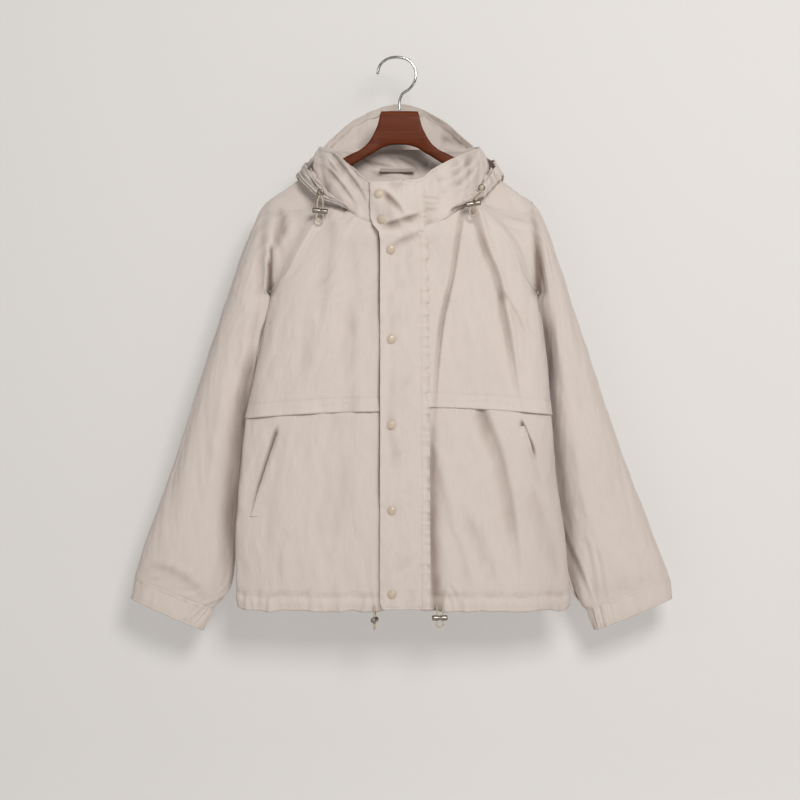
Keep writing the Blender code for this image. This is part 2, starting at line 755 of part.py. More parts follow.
def snap(number, x, z):
    """A domed snap cap on the placket, facing out."""
    grid = placket_grid()
    flat = grid.reshape(-1, 3)
    near = np.hypot(flat[:, 0] - x, flat[:, 2] - z).argmin()
    normal = grid_normals(grid).reshape(-1, 3)[near]
    slope = -normal[[0, 2]] / normal[1]
    y = flat[near, 1] + slope @ (np.array((x, z)) - flat[near, [0, 2]])
    profile = [
        (0, SNAP_HEIGHT),
        (0.45 * SNAP_RADIUS, SNAP_HEIGHT - 0.1 * SNAP_CROWN),
        (0.78 * SNAP_RADIUS, SNAP_HEIGHT - 0.4 * SNAP_CROWN),
        (SNAP_RADIUS, SNAP_HEIGHT - 1.3 * SNAP_CROWN),
        (SNAP_RADIUS, 0.2 * SNAP_CROWN),
        (0.9 * SNAP_RADIUS, 0),
        (0, 0),
    ]
    made = turned(f"snap_{number}", profile, "snap", 18)
    made.rotation_euler = Vector((0, 1, 0)).rotation_difference(Vector(normal)).to_euler()
    made.location = Vector((x, y, z)) * MM + Vector(normal) * LAID_ON * MM
    return made


def cord_set(name, row):
    """A looped cord with its cord lock: two strands down to the lock, and a short loop below it."""
    place = {column: values[row] for column, values in CORDS.items()}
    lock = np.array((place["lock_x"], place["lock_y"], place["lock_z"]))
    leave = np.array((place["exit_x"], place["exit_y"], place["exit_z"]))
    turn = math.radians(place["lock_turn"])
    in_hem = name.startswith("hem")
    across = np.array((math.cos(turn), 0, math.sin(turn)))
    if in_hem:
        across = np.array((math.cos(turn), math.sin(turn), 0))
    aside = across * CORD_SPREAD
    down = np.array((0, 0, -1.0))
    clear = LOCK_RADIUS + 4 * SEAM_GAP
    tops = (lock - aside - down * clear, lock + aside - down * clear)
    lows = (lock - aside + down * clear, lock + aside + down * clear)
    halfway = [(top + leave) / 2 + sign * STRAND_BOW * aside for sign, top in zip((-1, 1), tops)]
    if in_hem:
        halfway = [leave + sign * HEM_STRAND_BOW * aside for sign in (-1, 1)]
    upper = [tops[0], halfway[0], leave, halfway[1], tops[1]]
    turns = np.linspace(math.pi, 0, 5)[:, None]
    bend = lock + down * (clear + place["tail"] - TAIL_RADIUS)
    round_bend = bend + TAIL_RADIUS * (np.cos(turns) * across + np.sin(turns) * down)
    lower = [lows[0], *round_bend, lows[1]]
    wire(f"{name}_cord", smooth_route(upper, 15), CORD, "cord")
    wire(f"{name}_cord_tail", smooth_route(lower, 13), CORD, "cord")
    half = LOCK_LENGTH / 2
    profile = [
        (0, half),
        (0.7 * LOCK_RADIUS, half),
        (LOCK_RADIUS, 0.85 * half),
        (LOCK_RADIUS, 0.4 * half),
        (0.8 * LOCK_RADIUS, 0.32 * half),
        (0.8 * LOCK_RADIUS, -0.32 * half),
        (LOCK_RADIUS, -0.4 * half),
        (LOCK_RADIUS, -0.85 * half),
        (0.7 * LOCK_RADIUS, -half),
        (0, -half),
    ]
    made = turned(f"{name}_cord_lock", profile, "cord_lock", 12)
    made.rotation_euler = Vector((0, 1, 0)).rotation_difference(Vector(across)).to_euler()
    made.location = Vector(lock) * MM


def eyelet(side, row):
    """A small metal ring on the hood's band, where the cord comes out."""
    leave = Vector([CORDS[column][row] for column in ("exit_x", "exit_y", "exit_z")])
    behind = Vector((0, CORD / 2 + EYELET_WIRE + SEAM_GAP, CORD_SPREAD))
    bpy.ops.mesh.primitive_torus_add(
        major_radius=EYELET_RADIUS * MM,
        minor_radius=EYELET_WIRE * MM,
        major_segments=16,
        minor_segments=6,
        location=(leave + behind) * MM,
        rotation=(math.radians(90), 0, 0),
    )
    made = bpy.context.object
    made.name = f"hood_eyelet_{side_name(side)}"
    made.data.name = made.name
    made.data.shade_smooth()
    made.data.materials.append(finish("eyelet"))
    for collection in made.users_collection:
        collection.objects.unlink(made)
    PARTS.objects.link(made)


for old in list(bpy.data.objects):
    bpy.data.objects.remove(old)
PARTS = bpy.data.collections.new("raglan_jacket_on_hanger")
bpy.context.scene.collection.children.link(PARTS)

hanger_wood()
hanger_hook()
for side in (-1, 1):
    cloth(f"front_{side_name(side)}_upper", upper_front(side))
    cloth(f"front_{side_name(side)}_lower", lower_front(side))
    cloth(f"sleeve_{side_name(side)}", sleeve(side), closed=True)
    cloth(f"cuff_{side_name(side)}", cuff(side), closed=True)
    cloth(f"pocket_welt_{side_name(side)}", pocket_welt(side))
cloth("back", back_panel())
cloth("collar", collar(), thick=COLLAR_WALL)
cloth("placket", placket_grid(), thick=PLACKET_THICK)
cloth("hood", hood())
cloth("hood_casing", hood_casing())
cloth("neck_tape", neck_tape())
for number, x, z in zip(*SNAP_PLACES.values()):
    snap(int(number), x, z)
for row, name in enumerate(CORD_NAMES):
    cord_set(name, row)
for row, side in enumerate((-1, 1)):
    eyelet(side, row)
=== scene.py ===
# %% Load the frame
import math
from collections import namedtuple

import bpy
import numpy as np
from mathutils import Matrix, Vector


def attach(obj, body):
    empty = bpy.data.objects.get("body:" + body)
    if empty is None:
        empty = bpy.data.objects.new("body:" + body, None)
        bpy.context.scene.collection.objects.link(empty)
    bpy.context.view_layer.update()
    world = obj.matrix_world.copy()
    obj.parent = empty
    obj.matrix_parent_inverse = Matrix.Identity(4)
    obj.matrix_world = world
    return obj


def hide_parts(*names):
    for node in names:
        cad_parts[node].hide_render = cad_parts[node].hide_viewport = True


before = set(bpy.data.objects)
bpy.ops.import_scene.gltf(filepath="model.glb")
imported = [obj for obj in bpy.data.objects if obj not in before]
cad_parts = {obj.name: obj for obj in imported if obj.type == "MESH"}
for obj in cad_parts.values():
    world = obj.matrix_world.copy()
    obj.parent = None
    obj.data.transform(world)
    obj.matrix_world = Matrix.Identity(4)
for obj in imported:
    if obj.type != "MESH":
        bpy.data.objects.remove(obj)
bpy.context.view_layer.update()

# %% [markdown]
# # A raglan jacket on its hanger
# The frame that was just loaded holds plain solids of the jacket and hanger, in metres. This lesson
# gives them their looks: crinkled cloth with its creases, rows of stitches, snaps, cords, dark wood
# and a bright hook. The front faces -Y, and left and right are as seen from the front.

MM = 0.001
SIDES = (-1, 1)

# %% [markdown]
# ## Tables and curves
# Shapes are given as small tables in millimetres. A table is read over its first column, as a
# smooth curve through its rows or in straight steps between them.

# %% Tables and curves


def table(columns, *rows):
    """A table's rows, as one array for each named column."""
    return dict(zip(columns.split(), np.array(rows, float).T))


def glide(knots, values, at):
    """The smooth curve through values at knots, as a cubic between each two knots."""
    slopes = np.gradient(values, knots)
    at = np.clip(np.asarray(at, float), knots[0], knots[-1])
    i = np.clip(np.searchsorted(knots, at, side="right") - 1, 0, len(knots) - 2)
    span = knots[i + 1] - knots[i]
    t = (at - knots[i]) / span
    rise = values[i + 1] - values[i]
    start = slopes[i] * span
    end = slopes[i + 1] * span
    return values[i] + t * (start + t * (3 * rise - 2 * start - end + t * (start + end - 2 * rise)))


def curve(rows, column, at):
    return glide(next(iter(rows.values())), rows[column], at)


def straight(rows, column, at):
    return np.interp(at, next(iter(rows.values())), rows[column])


def walked(points):
    """How far along a line each of its points is."""
    return np.concatenate([[0], np.cumsum(np.linalg.norm(np.diff(points, axis=0), axis=1))])


def smooth_route(stops, count):
    """Points at even steps on a smooth curve through a route's points."""
    stops = np.array(stops, float)
    knots = walked(stops)
    at = np.linspace(0, knots[-1], count)
    return np.stack([glide(knots, column, at) for column in stops.T], axis=1)


def unit(values):
    return np.clip(values, 0, 1)


def ease(share):
    """A share from 0 to 1 that starts and ends softly."""
    return share * share * (3 - 2 * share)


def bell(away, width):
    """1 at no distance, and softly down to 0 within about two widths."""
    return np.exp(-((away / width) ** 2))


# %% [markdown]
# ## Camera
# A picture of a garment is taken from a few metres away with a long lens, so that near and far
# parts keep their sizes. One picture point is 1.65 mm in the hanger's plane, and that and the
# distance give the lens.

# %% Camera
PICTURE_SIDE = 800
PICTURE_POINT = 1.65
CAMERA_DISTANCE = 3500.0
CAMERA_AIM = (3.3, -563.5)
SENSOR = 36.0

camera_data = bpy.data.cameras.new("camera")
camera_data.sensor_width = SENSOR
camera_data.lens = SENSOR * CAMERA_DISTANCE / (PICTURE_SIDE * PICTURE_POINT)
camera = bpy.data.objects.new("camera", camera_data)
camera.location = Vector((CAMERA_AIM[0], -CAMERA_DISTANCE, CAMERA_AIM[1])) * MM
camera.rotation_euler = (math.pi / 2, 0, 0)
bpy.context.scene.collection.objects.link(camera)
bpy.context.scene.camera = camera
print("the lens is", round(camera_data.lens, 1), "mm")

# %% [markdown]
# ## Materials: helpers
# Every finish here is a Principled BSDF with a few texture nodes in front of it. The helpers keep
# the cells short: a node is added with its settings, and a setting that is a socket is linked.

# %% Material helpers


def feed(tree, socket, value):
    """Links a socket to another one, or sets it to a plain value."""
    if isinstance(value, bpy.types.NodeSocket):
        tree.links.new(value, socket)
    else:
        socket.default_value = value


def set_node(tree, node, **settings):
    """Feeds the inputs that the settings name; a setting with any other name is a property."""
    for name, value in settings.items():
        sockets = {socket.name.lower(): socket for socket in list(node.inputs)[::-1]}
        label = name.replace("_", " ")
        if label in sockets:
            feed(tree, sockets[label], value)
        else:
            setattr(node, name, value)
    return node


def add_node(tree, kind, **settings):
    return set_node(tree, tree.nodes.new(kind), **settings)


def math_node(tree, operation, *values):
    """The result of a Math node on two sockets or numbers."""
    node = add_node(tree, "ShaderNodeMath", operation=operation)
    for socket, value in zip(node.inputs, values):
        feed(tree, socket, value)
    return node.outputs[0]


def two_tones(tree, tone, dark, pale, stops=(0, 1)):
    """A colour that goes from dark to pale with a tone."""
    ramp = add_node(tree, "ShaderNodeValToRGB", fac=tone)
    for element, colour, stop in zip(ramp.color_ramp.elements, (dark, pale), stops):
        element.position = stop
        element.color = (*colour, 1)
    return ramp.outputs["Color"]


def gloss(tree, tone, first, last):
    """A roughness that goes from a first to a last value with a tone."""
    return add_node(tree, "ShaderNodeMapRange", value=tone, to_min=first, to_max=last).outputs["Result"]


def start_material(name, **settings):
    """A new material, its tree and its Principled BSDF with some inputs set."""
    material = bpy.data.materials.new(name)
    material.use_nodes = True
    tree = material.node_tree
    return material, tree, set_node(tree, tree.nodes["Principled BSDF"], **settings)


def start_group(name, kind, inputs, outputs):
    """A node group with named inputs (name, kind, default) and outputs (name, kind)."""
    group = bpy.data.node_groups.new(name, kind)
    for label, socket_kind, default in inputs:
        socket = group.interface.new_socket(label, in_out="INPUT", socket_type="NodeSocket" + socket_kind)
        if default is not None:
            socket.default_value = default
    for label, socket_kind in outputs:
        group.interface.new_socket(label, in_out="OUTPUT", socket_type="NodeSocket" + socket_kind)
    return group, group.nodes.new("NodeGroupInput"), group.nodes.new("NodeGroupOutput")


# %% [markdown]
# ## The cloth's crinkle
# The jacket is a thin, dry cloth that was washed and not ironed: it has fine streaks along its
# length, small soft crumples, and a plain weave that only shows close up. The cloth, the cords and
# the tape share them, so they are one shader group. It reads the pieces' own UV maps, which are
# laid out in metres, so the streaks run down each panel and along each sleeve.

# %% Crinkle group
CRUMPLE_SIZE = 0.014
BLOTCH_SIZE = 0.11
WAVE_REPEAT = 0.314
crinkle, crinkle_in, crinkle_out = start_group(
    "crinkle",
    "ShaderNodeTree",
    [("Vector", "Vector", None), ("Streak Size", "Float", 0.004), ("Weave Size", "Float", 0.0009)],
    [("Height", "Float"), ("Tone", "Float")],
)
on_cloth = crinkle_in.outputs["Vector"]


def crinkle_noise(stretch, size, detail, rough):
    """Noise on the cloth's own coordinates, stretched along its length."""
    place = add_node(crinkle, "ShaderNodeVectorMath", operation="MULTIPLY", vector=on_cloth)
    feed(crinkle, place.inputs[1], (1, stretch, 1))
    noise = add_node(crinkle, "ShaderNodeTexNoise", vector=place.outputs[0], detail=detail, roughness=rough)
    feed(crinkle, noise.inputs["Scale"], math_node(crinkle, "DIVIDE", 1.0, size))
    return noise.outputs["Fac"]


def crinkle_sum(*parts):
    """The sum of a few sockets, each times its share."""
    shares = [math_node(crinkle, "MULTIPLY", *part) for part in parts]
    total = shares[0]
    for share in shares[1:]:
        total = math_node(crinkle, "ADD", total, share)
    return total


streaks = crinkle_noise(0.09, crinkle_in.outputs["Streak Size"], 4.0, 0.6)
crumples = crinkle_noise(0.45, CRUMPLE_SIZE, 3.0, 0.5)
blotches = crinkle_noise(0.5, BLOTCH_SIZE, 2.0, 0.5)
repeats = math_node(crinkle, "DIVIDE", WAVE_REPEAT, crinkle_in.outputs["Weave Size"])
bands = [
    add_node(crinkle, "ShaderNodeTexWave", bands_direction=way, vector=on_cloth, scale=repeats)
    for way in "XY"
]
weave = math_node(crinkle, "MULTIPLY", *[band.outputs["Fac"] for band in bands])
set_node(
    crinkle,
    crinkle_out,
    height=crinkle_sum((streaks, 0.55), (crumples, 0.75), (weave, 0.12)),
    tone=crinkle_sum((streaks, 0.6), (blotches, 0.4)),
)
print("the crinkle group has", len(crinkle.nodes), "nodes")

# %% [markdown]
# ## Woven finishes
# The cloth, cord and thread finishes are the crinkle group with their own colours and sizes. A
# little sheen gives the pale edge that dry cloth has where it turns away. Light that reaches the
# bottom of a fold has met the cloth a few times, so it is dark and warm there: that shade is
# painted, as the painted_shade attribute mixes in a brown.

# %% Woven finishes
# painted shade: the brown that the painted_shade attribute mixes into the cloth's colour
FOLD_SHADE = (0.40, 0.345, 0.31, 1)
WOVEN_STOPS = (0.32, 0.68)
WOVEN_ROUGH = (0.9, 0.7)


def woven(name, dark, pale, streak, weave_size, relief):
    """A woven finish: two tones mixed by the crinkle, its relief, a faint sheen and painted fold shade."""
    material, tree, shader = start_material(
        name, sheen_weight=0.2, sheen_roughness=0.5, specular_ior_level=0.25
    )
    place = add_node(tree, "ShaderNodeTexCoord")
    effect = add_node(tree, "ShaderNodeGroup", node_tree=crinkle, vector=place.outputs["UV"])
    set_node(tree, effect, streak_size=streak, weave_size=weave_size)
    tone = effect.outputs["Tone"]
    # painted shade: the colour is darker and browner where the painted_shade attribute is high
    painted_shade = add_node(tree, "ShaderNodeAttribute", attribute_name="painted_shade")
    deep = add_node(tree, "ShaderNodeMixRGB", blend_type="MULTIPLY", fac=painted_shade.outputs["Fac"])
    set_node(tree, deep, color1=two_tones(tree, tone, dark, pale, WOVEN_STOPS), color2=FOLD_SHADE)
    bump = add_node(tree, "ShaderNodeBump", height=effect.outputs["Height"], distance=relief, strength=1.0)
    set_node(tree, shader, base_color=deep.outputs["Color"], normal=bump.outputs["Normal"])
    set_node(tree, shader, roughness=gloss(tree, tone, *WOVEN_ROUGH))
    return material


cloth_finish = woven("crinkled_cloth", (0.583, 0.509, 0.46), (0.613, 0.538, 0.49), 0.0026, 0.0009, 0.0009)
thread_finish = woven("stitch_thread", (0.50, 0.42, 0.34), (0.60, 0.52, 0.43), 0.002, 0.0005, 0.0002)
cord_finish = woven("round_cord", (0.42, 0.34, 0.25), (0.60, 0.51, 0.40), 0.0012, 0.0011, 0.0006)
print("woven finishes made")

# %% [markdown]
# ## Hard finishes
# The hanger is stained dark red-brown with a satin varnish: stretched noise along the arms makes the
# grain. The hook is bright plated wire whose colour is patched dark and pale: painted reflections.
# The snaps are painted to match the cloth, and the eyelets are dark metal.

# %% Hard finishes
WOOD_GRAIN = (7.0, 160.0, 160.0)
WOOD_STOPS = (0.34, 0.70)
wood_finish, wood, wood_shader = start_material("stained_wood", specular_ior_level=0.08)
place = add_node(wood, "ShaderNodeTexCoord")
along = add_node(wood, "ShaderNodeMapping", vector=place.outputs["Object"], scale=WOOD_GRAIN)
noise = add_node(wood, "ShaderNodeTexNoise", vector=along.outputs["Vector"], scale=1.0, detail=6.0)
set_node(wood, noise, roughness=0.6, distortion=0.4)
grain = noise.outputs["Fac"]
bump = add_node(wood, "ShaderNodeBump", height=grain, distance=0.0003, strength=0.4)
stain = two_tones(wood, grain, (0.086, 0.0175, 0.0055), (0.138, 0.032, 0.0105), WOOD_STOPS)
set_node(wood, wood_shader, base_color=stain, roughness=gloss(wood, grain, 0.5, 0.36))
set_node(wood, wood_shader, normal=bump.outputs["Normal"])


def hard_finish(name, dark, pale, patch, rough, **settings):
    """A hard finish whose colour and gloss go between two ends in soft patches."""
    material, tree, shader = start_material(name, **settings)
    place = add_node(tree, "ShaderNodeTexCoord")
    noise = add_node(tree, "ShaderNodeTexNoise", vector=place.outputs["Object"], scale=1 / patch, detail=4.0)
    tone = noise.outputs["Fac"]
    set_node(tree, shader, base_color=two_tones(tree, tone, dark, pale), roughness=gloss(tree, tone, *rough))
    return material


# painted reflections: the hook's colour goes from dark to pale in small patches, for what the wire reflects
hook_painted_reflections = hard_finish(
    "plated_wire_painted_reflections", (0.16, 0.16, 0.17), (0.86, 0.86, 0.86), 0.007, (0.08, 0.2), metallic=1.0
)
snap_finish = hard_finish(
    "painted_snap", (0.44, 0.355, 0.262), (0.545, 0.45, 0.348), 0.004, (0.3, 0.5), coat_weight=0.2
)
lock_finish = hard_finish(
    "plated_lock", (0.08, 0.063, 0.048), (0.46, 0.41, 0.35), 0.003, (0.28, 0.42), metallic=0.9
)
eyelet_finish = hard_finish(
    "dark_eyelet", (0.10, 0.08, 0.06), (0.24, 0.20, 0.15), 0.002, (0.3, 0.5), metallic=1.0
)
print("hard finishes made")

# %% [markdown]
# ## Grids
# A panel of cloth is worked out as a grid of points: rows up the piece and columns across it.
# These helpers measure a grid and move its points.

# %% Grid helpers
FACING_SHARP = 2.2


def grid_lengths(grid, axis):
    """How far along its row or column each point of a grid is."""
    steps = np.linalg.norm(np.diff(grid, axis=axis), axis=2)
    start = np.zeros_like(np.take(steps, [0], axis=axis))
    return np.concatenate([start, np.cumsum(steps, axis=axis)], axis=axis)


def grid_normals(grid):
    """Unit normals of a grid, from the steps along its columns and rows."""
    normal = np.cross(np.gradient(grid, axis=1), np.gradient(grid, axis=0))
    return normal / np.maximum(np.linalg.norm(normal, axis=2, keepdims=True), 1e-9)


def edge_distance(grid, edge):
    """How far each point of a grid is in from one of its edges."""
    axis = 0 if edge in ("low", "high") else 1
    length = grid_lengths(grid, axis)
    if edge in ("low", "left"):
        return length
    return np.take(length, [-1], axis=axis) - length


def facing(grid):
    """1 where a grid faces the front, -1 where it faces the back, and softly between."""
    return np.clip(-grid_normals(grid)[:, :, 1] * FACING_SHARP, -1, 1)


def moved(grid, by, way):
    return grid + by[:, :, None] * np.array(way, float)


def push_out(grid, height):
    return grid + grid_normals(grid) * height[:, :, None]


# %% [markdown]
# ## Cloth meshes
# A piece of cloth is two layers of one grid, joined by a rim, with a UV map in metres. How deep
# each point lies below the cloth around it, with any painted shade given for the piece, is kept
# for each layer as an attribute, which the finish reads as painted shade.

# %% Cloth meshes
PAINTED_SHADE_REACH = 14
PAINTED_SHADE_FULL = 11.0
PAINTED_SHADE_POWER = 1.4


def link_piece(name, data, finish):
    piece = bpy.data.objects.new(name, data)
    data.materials.append(finish)
    bpy.context.scene.collection.objects.link(piece)
    return piece


def smooth_mesh(name, points, faces):
    data = bpy.data.meshes.new(name)
    data.from_pydata(points * MM, [], faces)
    data.shade_smooth()
    return data


def grid_faces(rows, columns, closed):
    """The four corners of each face of a grid whose columns may close into a ring."""
    i = np.arange(rows - 1)[:, None]
    j = np.arange(columns if closed else columns - 1)[None, :]
    k = (j + 1) % columns
    corners = (i * columns + j, i * columns + k, (i + 1) * columns + k, (i + 1) * columns + j)
    corners = [np.broadcast_to(corner, (rows - 1, j.shape[1])) for corner in corners]
    return np.stack(corners, axis=2).reshape(-1, 4)


def spread(values, reach):
    """The mean over each point's surroundings, a number of points each way."""
    size = 2 * reach + 1
    for axis in (0, 1):
        room = [(reach + 1, reach) if axis == k else (0, 0) for k in (0, 1)]
        total = np.cumsum(np.pad(values, room, mode="edge"), axis=axis)
        ends = np.arange(size, total.shape[axis])
        values = (np.take(total, ends, axis=axis) - np.take(total, ends - size, axis=axis)) / size
    return values


def painted_fold_shade(height, full):
    """How deep each point lies below its surroundings, from 0 to 1: the strength of painted fold shade."""
    return unit((spread(spread(height, PAINTED_SHADE_REACH), PAINTED_SHADE_REACH) - height) / full) ** PAINTED_SHADE_POWER


def rim_pairs(cells, closed):
    """The two corners of each edge on a grid's rim, turned against the cells that they bound."""
    pairs = [cells[0][:, (1, 0)], cells[-1][:, (3, 2)]]
    if not closed:
        pairs += [cells[:, 0][:, (0, 3)], cells[:, -1][:, (2, 1)]]
    return np.concatenate(pairs)


def cloth_mesh(name, grid, painted_shade_sides, closed, thick):
    """A cloth piece of two layers and a rim, with its UV map and the painted shade of each side."""
    rows, columns = grid.shape[:2]
    outer = grid_faces(rows, columns, closed)
    pairs = rim_pairs(outer.reshape(rows - 1, -1, 4), closed)
    under = rows * columns
    rim = np.concatenate([pairs, pairs[:, ::-1] + under], axis=1)
    faces = np.concatenate([outer, outer[:, ::-1] + under, rim])
    layers = np.stack([grid, grid - thick * grid_normals(grid)])
    data = smooth_mesh(name, layers.reshape(-1, 3), faces.tolist())
    across = np.linspace(0, grid_lengths(grid, 1)[:, -1].mean(), columns + 1) * MM
    up = np.linspace(0, grid_lengths(grid, 0)[-1].mean(), rows) * MM
    column = outer % columns
    column[:, 1:3] = column[:, :1] + 1
    uv = np.stack([across[column], up[outer // columns]], axis=2)
    uv_pairs = rim_pairs(uv.reshape(rows - 1, -1, 4, 2), closed)
    uv = np.concatenate([uv, uv[:, ::-1], np.concatenate([uv_pairs, uv_pairs[:, ::-1]], axis=1)])
    layer = data.uv_layers.new(name="cut")
    layer.data.foreach_set("uv", uv.reshape(-1).astype(np.float32))
    painted_shade = data.attributes.new("painted_shade", "FLOAT", "POINT")
    painted_shade.data.foreach_set("value", np.stack(painted_shade_sides).reshape(-1).astype(np.float32))
    return link_piece(name, data, cloth_finish)


# %% [markdown]
# ## The body's shape
# The jacket hangs flat and rounded. At each height the front bulges from the side seams to the
# middle, so one rounded curve serves the front and another the back. Above the underarm the raglan
# seams take the place of the side seams. These are the same sizes as the frame's solids.

# %% Sizes of the body
MIDDLE = 8.0
SIDE_DEPTH = -20.0
UNDERARM_Z = -387.0
HEM_Z = -908.0
BODY = table(
    "z left right front back",
    (-908, -263, 279, -52, 40),
    (-840, -266, 278, -55, 42),
    (-786, -267, 272, -57, 44),
    (-728, -263, 264, -59, 45),
    (-639, -254, 255, -61, 46),
    (-563, -244, 249, -63, 47),
    (-494, -229, 244, -66, 47),
    (-416, -214, 232, -69, 47),
    (-387, -208, 226, -71, 47),
)
RAGLAN_FRONT = table(
    "z left right depth middle round",
    (-387, -208, 226, -20, -71, 2.6),
    (-372, -196, 214, -33, -72, 2.1),
    (-350, -181, 203, -41, -74, 1.8),
    (-320, -165, 192, -47, -78, 1.6),
    (-293, -150, 178, -49, -83, 1.5),
    (-262, -131, 152, -48, -79, 1.4),
    (-233, -111, 125, -44, -72, 1.3),
)
RAGLAN_BACK = table(
    "z left right depth middle round",
    (-387, -208, 226, -20, 47, 1.9),
    (-372, -199, 216, 8, 47, 1.8),
    (-340, -180, 198, 30, 47, 1.7),
    (-290, -155, 172, 38, 47, 1.6),
    (-240, -134, 148, 34, 47, 1.4),
    (-196, -116, 126, 22, 45, 1.3),
)
Panel = namedtuple("Panel", "column raglan full neck_z neck_curve")
FRONT = Panel("front", RAGLAN_FRONT, 2.6, -286.0, 2.1)
BACK = Panel("back", RAGLAN_BACK, 1.9, -206.0, 2.0)
SPREAD_STEPS = 40
SPREAD_BULGE = 0.18


def side_name(side):
    return "left" if side < 0 else "right"


def by_height(z, low, raglan, column):
    """A value that is given up to the underarm, and above it comes from a raglan seam's table."""
    return np.where(z <= UNDERARM_Z, low, curve(raglan, column, z))


def edge_x(side, z, raglan):
    """Where the side seam, and above the underarm the raglan seam, is at a height."""
    return by_height(z, curve(BODY, side_name(side), z), raglan, side_name(side))


def edge_y(z, raglan):
    return by_height(z, SIDE_DEPTH, raglan, "depth")


def depth_at(x, z, panel):
    """The depth of a panel's cloth at a place seen from the front."""
    edge = np.where(x < MIDDLE, *[edge_x(side, z, panel.raglan) for side in SIDES])
    out = unit((x - MIDDLE) / (edge - MIDDLE))
    middle = by_height(z, curve(BODY, panel.column, z), panel.raglan, "middle")
    round_off = by_height(z, panel.full, panel.raglan, "round")
    rim = edge_y(z, panel.raglan)
    return rim + (middle - rim) * (1 - out**panel.full) ** (1 / round_off)


def half_panel(panel, side, middle_z, edge_z, columns):
    """Half a panel, from its middle to its seam at even steps; its rows bend towards the neck."""
    angle = np.linspace(0, math.pi / 2, SPREAD_STEPS * columns)
    out = np.sin(angle) ** (2 / panel.full)
    run = walked(np.stack([out, SPREAD_BULGE * np.cos(angle) ** (2 / panel.full)], axis=1))
    out = np.interp(np.linspace(0, run[-1], columns + 1), run, out)
    x = MIDDLE + (edge_x(side, edge_z, panel.raglan)[:, None] - MIDDLE) * out
    z = middle_z[:, None] + (edge_z - middle_z)[:, None] * out**panel.neck_curve
    return np.stack([x, depth_at(x, z, panel), z], axis=2)


print("hem", BODY["right"][0] - BODY["left"][0], "mm wide")

# %% [markdown]
# ## Creases
# Cloth that hangs free falls into a few soft troughs. Each is listed here: a route on the
# front as it is seen, its width and depth in millimetres, and a ridge, which is how far the cloth
# stands up again along its steep side, as a share of the depth. The steep side is the right one of
# a route that goes down and the left one of a route that goes up, and the other side runs out
# gently.

# %% Creases
Crease = namedtuple("Crease", "width depth ridge route")
ROUTE_STEPS = 36
GENTLE_SIDE = 2.4
REACH_WIDTHS = 3 * GENTLE_SIDE
TAPER_WIDTHS = 6.0
TAPER_IN_SHARE = 0.12
TAPER_OUT_SHARE = 0.45
END_WIDTH = 0.5
RIDGE_AT = 2.1
RIDGE_WIDTH = 1.2


def crease_height(grid, creases):
    """How far the creases lift the cloth at each place seen from the front."""
    x = grid[:, :, 0]
    z = grid[:, :, 2]
    total = np.zeros(x.shape)
    for crease in creases:
        path = smooth_route(crease.route, ROUTE_STEPS)
        reach = REACH_WIDTHS * crease.width
        near = (x > path[:, 0].min() - reach) & (x < path[:, 0].max() + reach)
        near &= (z > path[:, 1].min() - reach) & (z < path[:, 1].max() + reach)
        if not near.any():
            continue
        run = np.diff(path, axis=0)[None]
        rel = np.stack([x[near], z[near]], axis=1)[:, None, :] - path[None, :-1]
        t = unit((rel * run).sum(axis=2) / (run**2).sum(axis=2))
        away = np.linalg.norm(rel - t[:, :, None] * run, axis=2)
        best = away.argmin(axis=1)
        pick = np.arange(len(best))
        side = np.sign(run[0, best, 0] * rel[pick, best, 1] - run[0, best, 1] * rel[pick, best, 0])
        length = walked(path)[-1]
        gone = (best + t[pick, best]) / run.shape[1] * length
        taper = TAPER_WIDTHS * crease.width
        fade = unit(gone / max(taper, TAPER_IN_SHARE * length))
        fade = ease(fade * unit((length - gone) / max(taper, TAPER_OUT_SHARE * length)))
        s = away[pick, best] * side / (crease.width * (END_WIDTH + (1 - END_WIDTH) * fade))
        trough = bell(np.where(s > 0, s, s / GENTLE_SIDE), 1)
        total[near] += crease.depth * fade * (crease.ridge * bell(s - RIDGE_AT, RIDGE_WIDTH) - trough)
    return total


# %% [markdown]
# ## Small waves
# All the cloth also has waves too small and too many to place: long ones where it hangs, and finer
# crumples over them. They are smooth random heights, stretched along the cloth, and each piece has
# its own fixed seed. Sewing adds a dip along each seam and short puckers beside it.

# %% Small waves
WAVE_TABLE = 64
SEEDS = {
    "front_left_upper": 11,
    "front_right_upper": 17,
    "front_hem": 21,
    "back_hem": 22,
    "front_left_lower": 23,
    "front_right_lower": 29,
    "back": 31,
    "gathers_left": 40,
    "gathers_right": 42,
    "sleeve_left": 42,
    "sleeve_right": 44,
    "cuff_left": 52,
    "cuff_right": 54,
    "collar": 61,
    "placket": 71,
    "placket_edge": 73,
    "pocket_welt_left": 78,
    "pocket_welt_right": 80,
    "hood": 83,
    "hood_ends": 87,
    "hood_casing": 89,
    "hem_ticks": 91,
    "neck_tape": 97,
}
Ripple = namedtuple("Ripple", "height across up seed bend bend_across bend_up bend_seed")
HANGING_WAVES = Ripple(1.0, 34, 230, 0, 0.4, 90, 120, 7)
CRUMPLES = [
    Ripple(2.0, 17, 70, 4, 0.5, 50, 50, 8),
    Ripple(1.0, 9, 22, 1, 0.0, 1, 1, 0),
    Ripple(0.4, 4.5, 9, 2, 0.0, 1, 1, 0),
]
Seam = namedtuple("Seam", "edge inset depth width")
Pucker = namedtuple("Pucker", "edge height wave reach")
SEAM_DIP = 0.3
SEAM_WIDTH = 2.5
STITCH_DIP = 0.7
PUCKER_FADE = 2.5
PUCKER_SEED = 3


